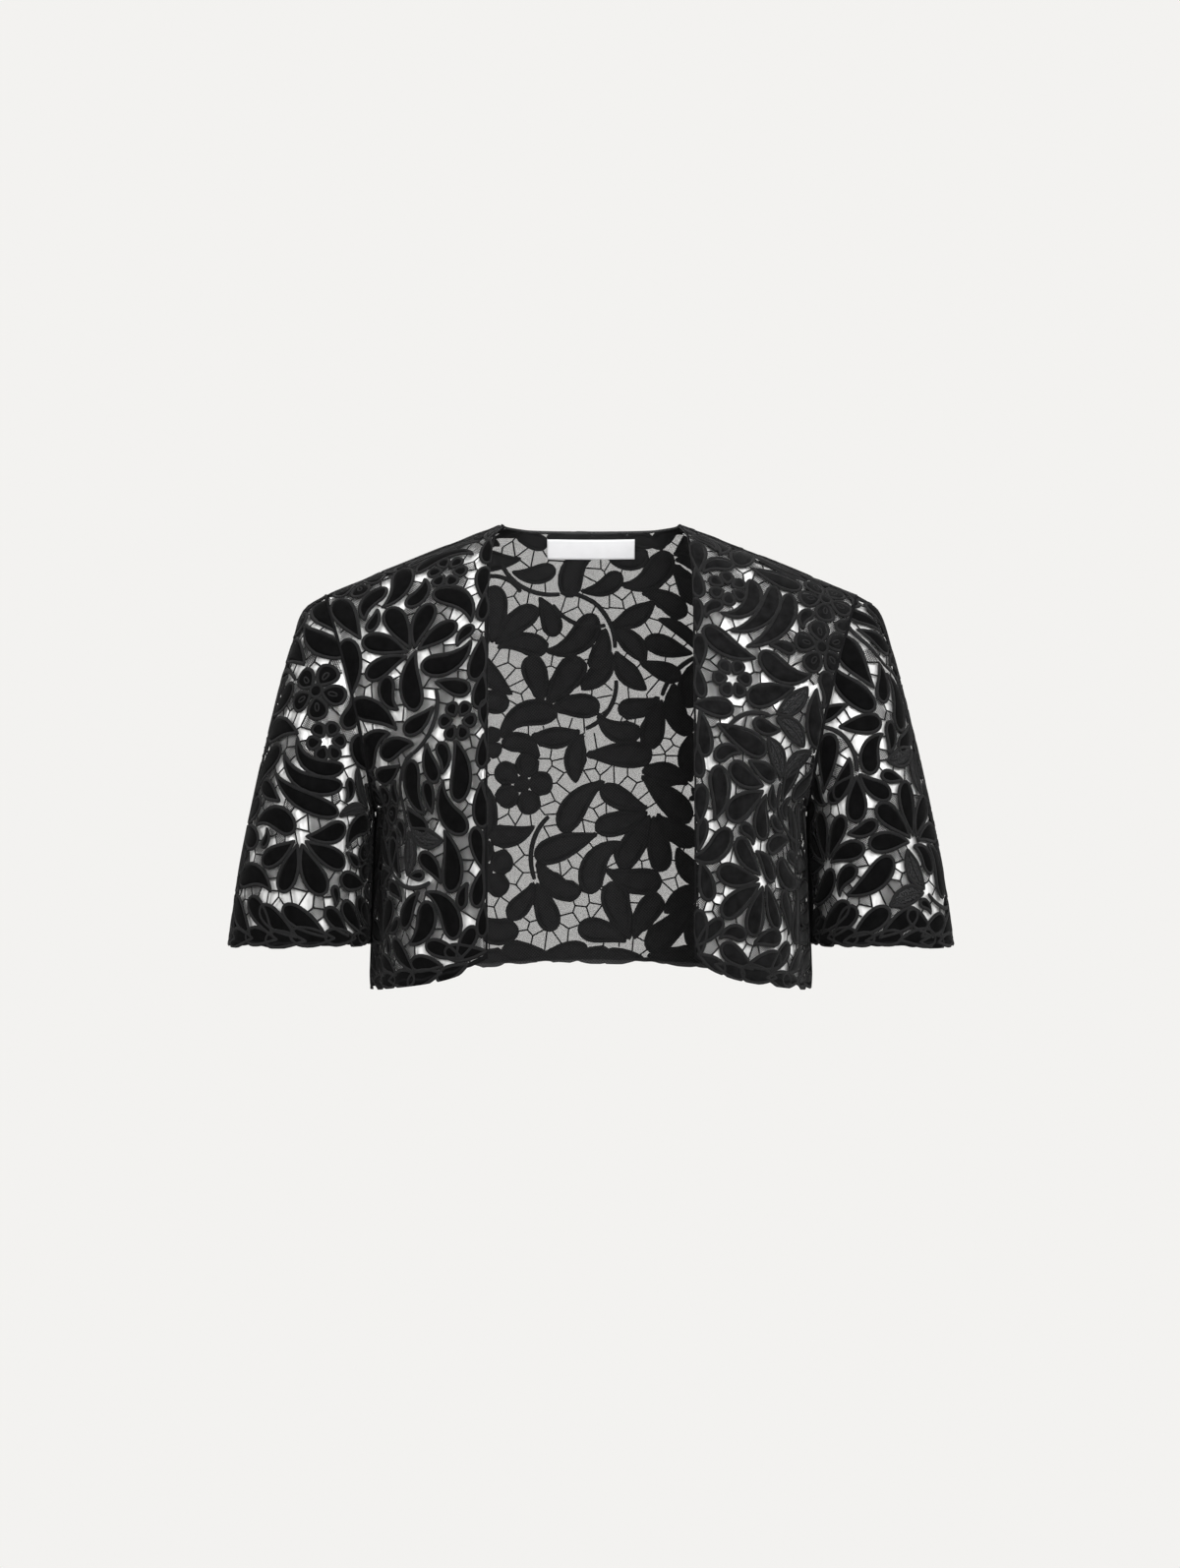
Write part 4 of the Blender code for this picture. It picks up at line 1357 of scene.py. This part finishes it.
# %% [markdown]
# ## The net
# Some cells of the fronts and the sleeves hold a coarse black net, and all of the back is a fine one.
# On the back it is so fine and dense that the pale room seen through its cells turns grey: partly the
# lace's ground, partly a dark sheet for the painted shade behind the back. Net could be a see-through
# material, but it would look the same from near and far; here it is flat threads both ways aslant, a
# second piece just inside each panel of lace. On the back they are long threads; elsewhere each is as
# short as the pitch, so that it can stop at the edge of its cell.

# %% threads of net
NET_ANGLES = np.radians([38.0, 142.0])
NET_IN = -0.8
LONG_THREAD = 10.0


def net_of(panel):
    """Flat threads on the paper, where the panel has net, cut off near its edges; four points each."""
    cut, lace = PANELS[panel]["cut"], LACE[panel]
    chart, ground = CHARTS[cut], GROUND[cut]
    whole = ground["netted"] >= 1
    long = LONG_THREAD if whole else ground["pitch"]
    low, high = chart.low, chart.low + CHART * np.array(chart.x.shape)
    reach = float(np.hypot(*(high - low))) / 2
    shift, along = np.meshgrid(np.arange(-reach, reach, ground["pitch"]),
                               np.arange(-reach, reach, long), indexing="ij")
    has_net = np.random.default_rng(7).random(len(lace["seeds"])) < ground["netted"]
    stations = np.linspace(0, long, 11 if whole else 2)
    room, papers = ground_room(cut), []
    for angle in NET_ANGLES:
        way = np.array([np.cos(angle), np.sin(angle)])
        aside = np.array([-way[1], way[0]])
        start = (low + high) / 2 + shift[..., None] * aside + along[..., None] * way
        start = start.reshape(-1, 2)
        held = chart.blend(room, start[:, None] + stations[:, None] * way) > 0
        first, last, kept = ends_of(held)
        kept &= last > first
        if not whole:
            centre = start + way * long / 2
            kept &= chart.read(lace["gap"], centre) > 0.6
            kept[kept] = has_net[nearest(centre[kept], lace["seeds"])]
        begin = start[kept] + stations[first[kept]][:, None] * way
        end = start[kept] + stations[last[kept]][:, None] * way
        thin = ground["thread"] * aside
        papers.append(np.stack([begin - thin, end - thin, end + thin, begin + thin], 1))
    return np.concatenate(papers).reshape(-1, 2)


for panel in PANELS:
    paper = net_of(panel)
    faces = np.arange(len(paper)).reshape(-1, 4)
    if FACING[PANELS[panel]["cut"]] * PANELS[panel]["side"] < 0:
        faces = faces[:, ::-1]
    net = make_piece(panel + "_net", sewn(panel, paper, np.full(len(paper), NET_IN)), faces, [netting])
    print(panel, len(faces) * 2, "triangles of net")

# %% [markdown]
# ## Underlay
# A thin pale satin hangs a little inside the lace of the fronts and the sleeves, with small uneven
# creases that catch the light through the cells. A cloth simulation would crease it too, but it takes
# long and is hard to steer. Here it is a fine grid on the form, let in by sums of bent waves, and the
# Solidify modifier gives it its thickness.

# %% satin underlay
UNDERLAY_IN = -1.4
UNDERLAY_ENDS = {
    # shares where it ends: at both sides, below and above; a little short of the open edges
    "front": (0.034, 0.997, 0.016, 0.997),
    "sleeve": (0.001, 0.999, 0.003, 0.980),
}
UNDERLAY_COLUMNS, UNDERLAY_ROWS = 90, 110
SATIN_THICKNESS = 0.0003
CREASES = ((7, 0.5), (11, 0.5), (19, 0.55), (31, 0.6), (47, 0.4), (67, 0.25))
ROUND_THE_ARM = 0.35


def make_cloth(name, grid, finish, thickness, offset, turned_over=False):
    """A sheet of cloth from a grid of places, which Solidify makes as thick as it is."""
    knot = np.arange(grid.size // 3).reshape(grid.shape[:2])
    faces = np.stack([knot[:-1, :-1], knot[:-1, 1:], knot[1:, 1:], knot[1:, :-1]], -1).reshape(-1, 4)
    if turned_over:
        faces = faces[:, ::-1]
    made = make_piece(name, grid.reshape(-1, 3), faces, [finish])
    cloth = made.modifiers.new("cloth", "SOLIDIFY")
    cloth.thickness = thickness
    cloth.offset = offset
    return made


def crease(across, up, chance):
    """Uneven creases, zero or less: sums of bent waves with sharp ridges, in millimetres."""
    depth = np.zeros(across.shape)
    for size, height in CREASES:
        a, b = chance.uniform(0.3, 1.0), chance.uniform(-0.8, 0.8)
        bent = across + 0.06 * np.sin(7 * up + chance.uniform(0, 6))
        bent = bent + 0.03 * np.sin(19 * up + chance.uniform(0, 6))
        depth -= height * np.abs(np.sin(size * (a * bent + b * up) + chance.uniform(0, 6)))
    return depth


def sew_underlay(panel):
    """The satin inside a front or a sleeve: a fine grid let in by its creases."""
    cut, side = PANELS[panel]["cut"], PANELS[panel]["side"]
    chance = np.random.default_rng(PANELS[panel]["seed"] + 200)
    left, right, low, high = UNDERLAY_ENDS[cut]
    across, up = np.meshgrid(np.linspace(left, right, UNDERLAY_COLUMNS),
                             np.linspace(low, high, UNDERLAY_ROWS))
    over = across
    if cut == "sleeve":
        turn = 2 * np.pi * across
        over = np.sin(turn) * ROUND_THE_ARM + np.cos(turn) * ROUND_THE_ARM
    deep = UNDERLAY_IN + crease(over, up, chance)
    grid = on_cloth(cut, across, up, deep * MM) * [side, 1, 1]
    piece = make_cloth(panel + "_satin", grid, satin, SATIN_THICKNESS, -1.0, OUTWARD[cut] * side < 0)
    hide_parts(panel + "_underlay")
    print(panel, "satin let in by", (-deep).min().round(1), "to", (-deep).max().round(1), "mm")
    return piece


for panel in PANELS:
    if panel != "back":
        sew_underlay(panel)

# %% [markdown]
# ## Label
# The label is a plain white tape sewn inside the back neck, with nothing on it. It could be a flat box,
# but a tape follows the cloth that it is sewn to: so it is a grid whose places on the back are found by
# Newton steps from their x and z, moved in by the same way for each column.

# %% bare label
LABEL_HALF = 0.034
LABEL_TOP, LABEL_BOTTOM = -0.0055, -0.0202
LABEL_IN = -3.1
LABEL_THICKNESS = 0.0006
LABEL_STEPS, LABEL_SPEED = 60, 0.4


def shares_on_back(x, z):
    """The shares of the half back at given x and z near its neck, by damped Newton steps."""
    across, up = x / (2 * SHOULDER_TIP[0]), np.full(x.shape, 0.96)
    flat = (..., (0, 2))
    for _ in range(LABEL_STEPS):
        here = on_cloth("back", across, up, 0.0)[flat]
        by_across = (on_cloth("back", across + STEP, up, 0.0)[flat] - here) / STEP
        by_up = (on_cloth("back", across, up + STEP, 0.0)[flat] - here) / STEP
        miss = np.stack([x, z], -1) - here
        step_across, step_up = steps_for(miss, by_across, by_up)
        across, up = across + LABEL_SPEED * step_across, up + LABEL_SPEED * step_up
    print("label found to", np.linalg.norm(miss, axis=-1).max().round(6), "m")
    return across, up


x, z = np.meshgrid(np.linspace(-LABEL_HALF, LABEL_HALF, 41), np.linspace(LABEL_BOTTOM, LABEL_TOP, 11))
across, up = shares_on_back(np.abs(x), z)
lining = on_cloth("back", across, up, np.zeros(x.shape))
inward = (on_cloth("back", across, up, np.full(x.shape, LABEL_IN * MM)) - lining).mean(axis=0)
grid = lining + inward
grid[..., 0] *= np.where(x < 0, -1, 1)
print("label's top edge lies at", grid[-1, :, 2].min().round(4), "to", grid[-1, :, 2].max().round(4))
label = make_cloth("label_tape", grid, tape, LABEL_THICKNESS, 0.0)
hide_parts("label")

# %% [markdown]
# ## The outlines of the papers
# The outline of each panel's paper is worked out once more here; nothing uses it.

# %% outlines of the papers
for panel in PANELS:
    cut = PANELS[panel]["cut"]
    line = round_the_paper(cut)

# %% [markdown]
# ## The studio
# A plain pale room with soft light from all round, five soft lamps, and a camera level with the middle
# of the jacket, far enough away that its perspective is mild. A picture of a studio could light it too,
# but lamps can be set one by one. The room looks brighter to the camera than it shines, so that the
# background stays pale and the velvet black.

# %% the room
scene = bpy.context.scene
scene.view_settings.view_transform = "Standard"
world = bpy.data.worlds.new("studio")
world.use_nodes = True
background = world.node_tree.nodes["Background"].inputs
background["Color"].default_value = (0.896, 0.888, 0.871, 1.0)
seen = add(world.node_tree, "LightPath").outputs["Is Camera Ray"]
strength = add(world.node_tree, "MapRange", {"Value": seen, "To Min": 0.5, "To Max": 1.0})
world.node_tree.links.new(strength.outputs["Result"], background["Strength"])
scene.world = world

FLOOR_HALF, FLOOR_Z = 1.2, -1.25
floor_mesh = bpy.data.meshes.new("floor")
corners = [(-FLOOR_HALF, -FLOOR_HALF), (FLOOR_HALF, -FLOOR_HALF), (FLOOR_HALF, FLOOR_HALF),
           (-FLOOR_HALF, FLOOR_HALF)]
floor_mesh.from_pydata([(*corner, FLOOR_Z) for corner in corners], [], [(0, 1, 2, 3)])
floor = bpy.data.objects.new("floor", floor_mesh)
scene.collection.objects.link(floor)
floor_mesh.materials.append(cloth_finish("floor_paint", (0.80, 0.80, 0.79), 0.01, 0.9, 0.2))

# %% lamps and camera
AIM = Vector((0.0, 0.0, -0.2))
LAMPS = {
    # place, size in metres, power in watts
    "front": ((0.5, -3.0, 0.6), 0.8, 64.0),
    "key": ((1.7, -1.8, 0.8), 0.8, 40.0),
    "fill": ((-1.8, -1.6, 0.5), 0.8, 28.0),
    "top": ((0.0, -0.6, 1.8), 1.2, 26.0),
    "behind": ((-0.8, 3.0, 0.8), 1.2, 45.0),
}
for name, (place, size, power) in LAMPS.items():
    light = bpy.data.lights.new(name, "AREA")
    light.size = size
    light.energy = power
    lamp = bpy.data.objects.new(name, light)
    lamp.location = place
    lamp.rotation_mode = "QUATERNION"
    lamp.rotation_quaternion = (AIM - Vector(place)).to_track_quat("-Z", "Y")
    scene.collection.objects.link(lamp)

camera = bpy.data.objects.new("camera", bpy.data.cameras.new("camera"))
camera.data.lens = 99.0
camera.data.sensor_width = 36.0
camera.location = (-0.0007, -3.2, -0.1916)
camera.rotation_euler = (np.pi / 2, 0.0, 0.0)
scene.collection.objects.link(camera)
scene.camera = camera
print("studio:", len(LAMPS), "lamps, camera at", tuple(camera.location))
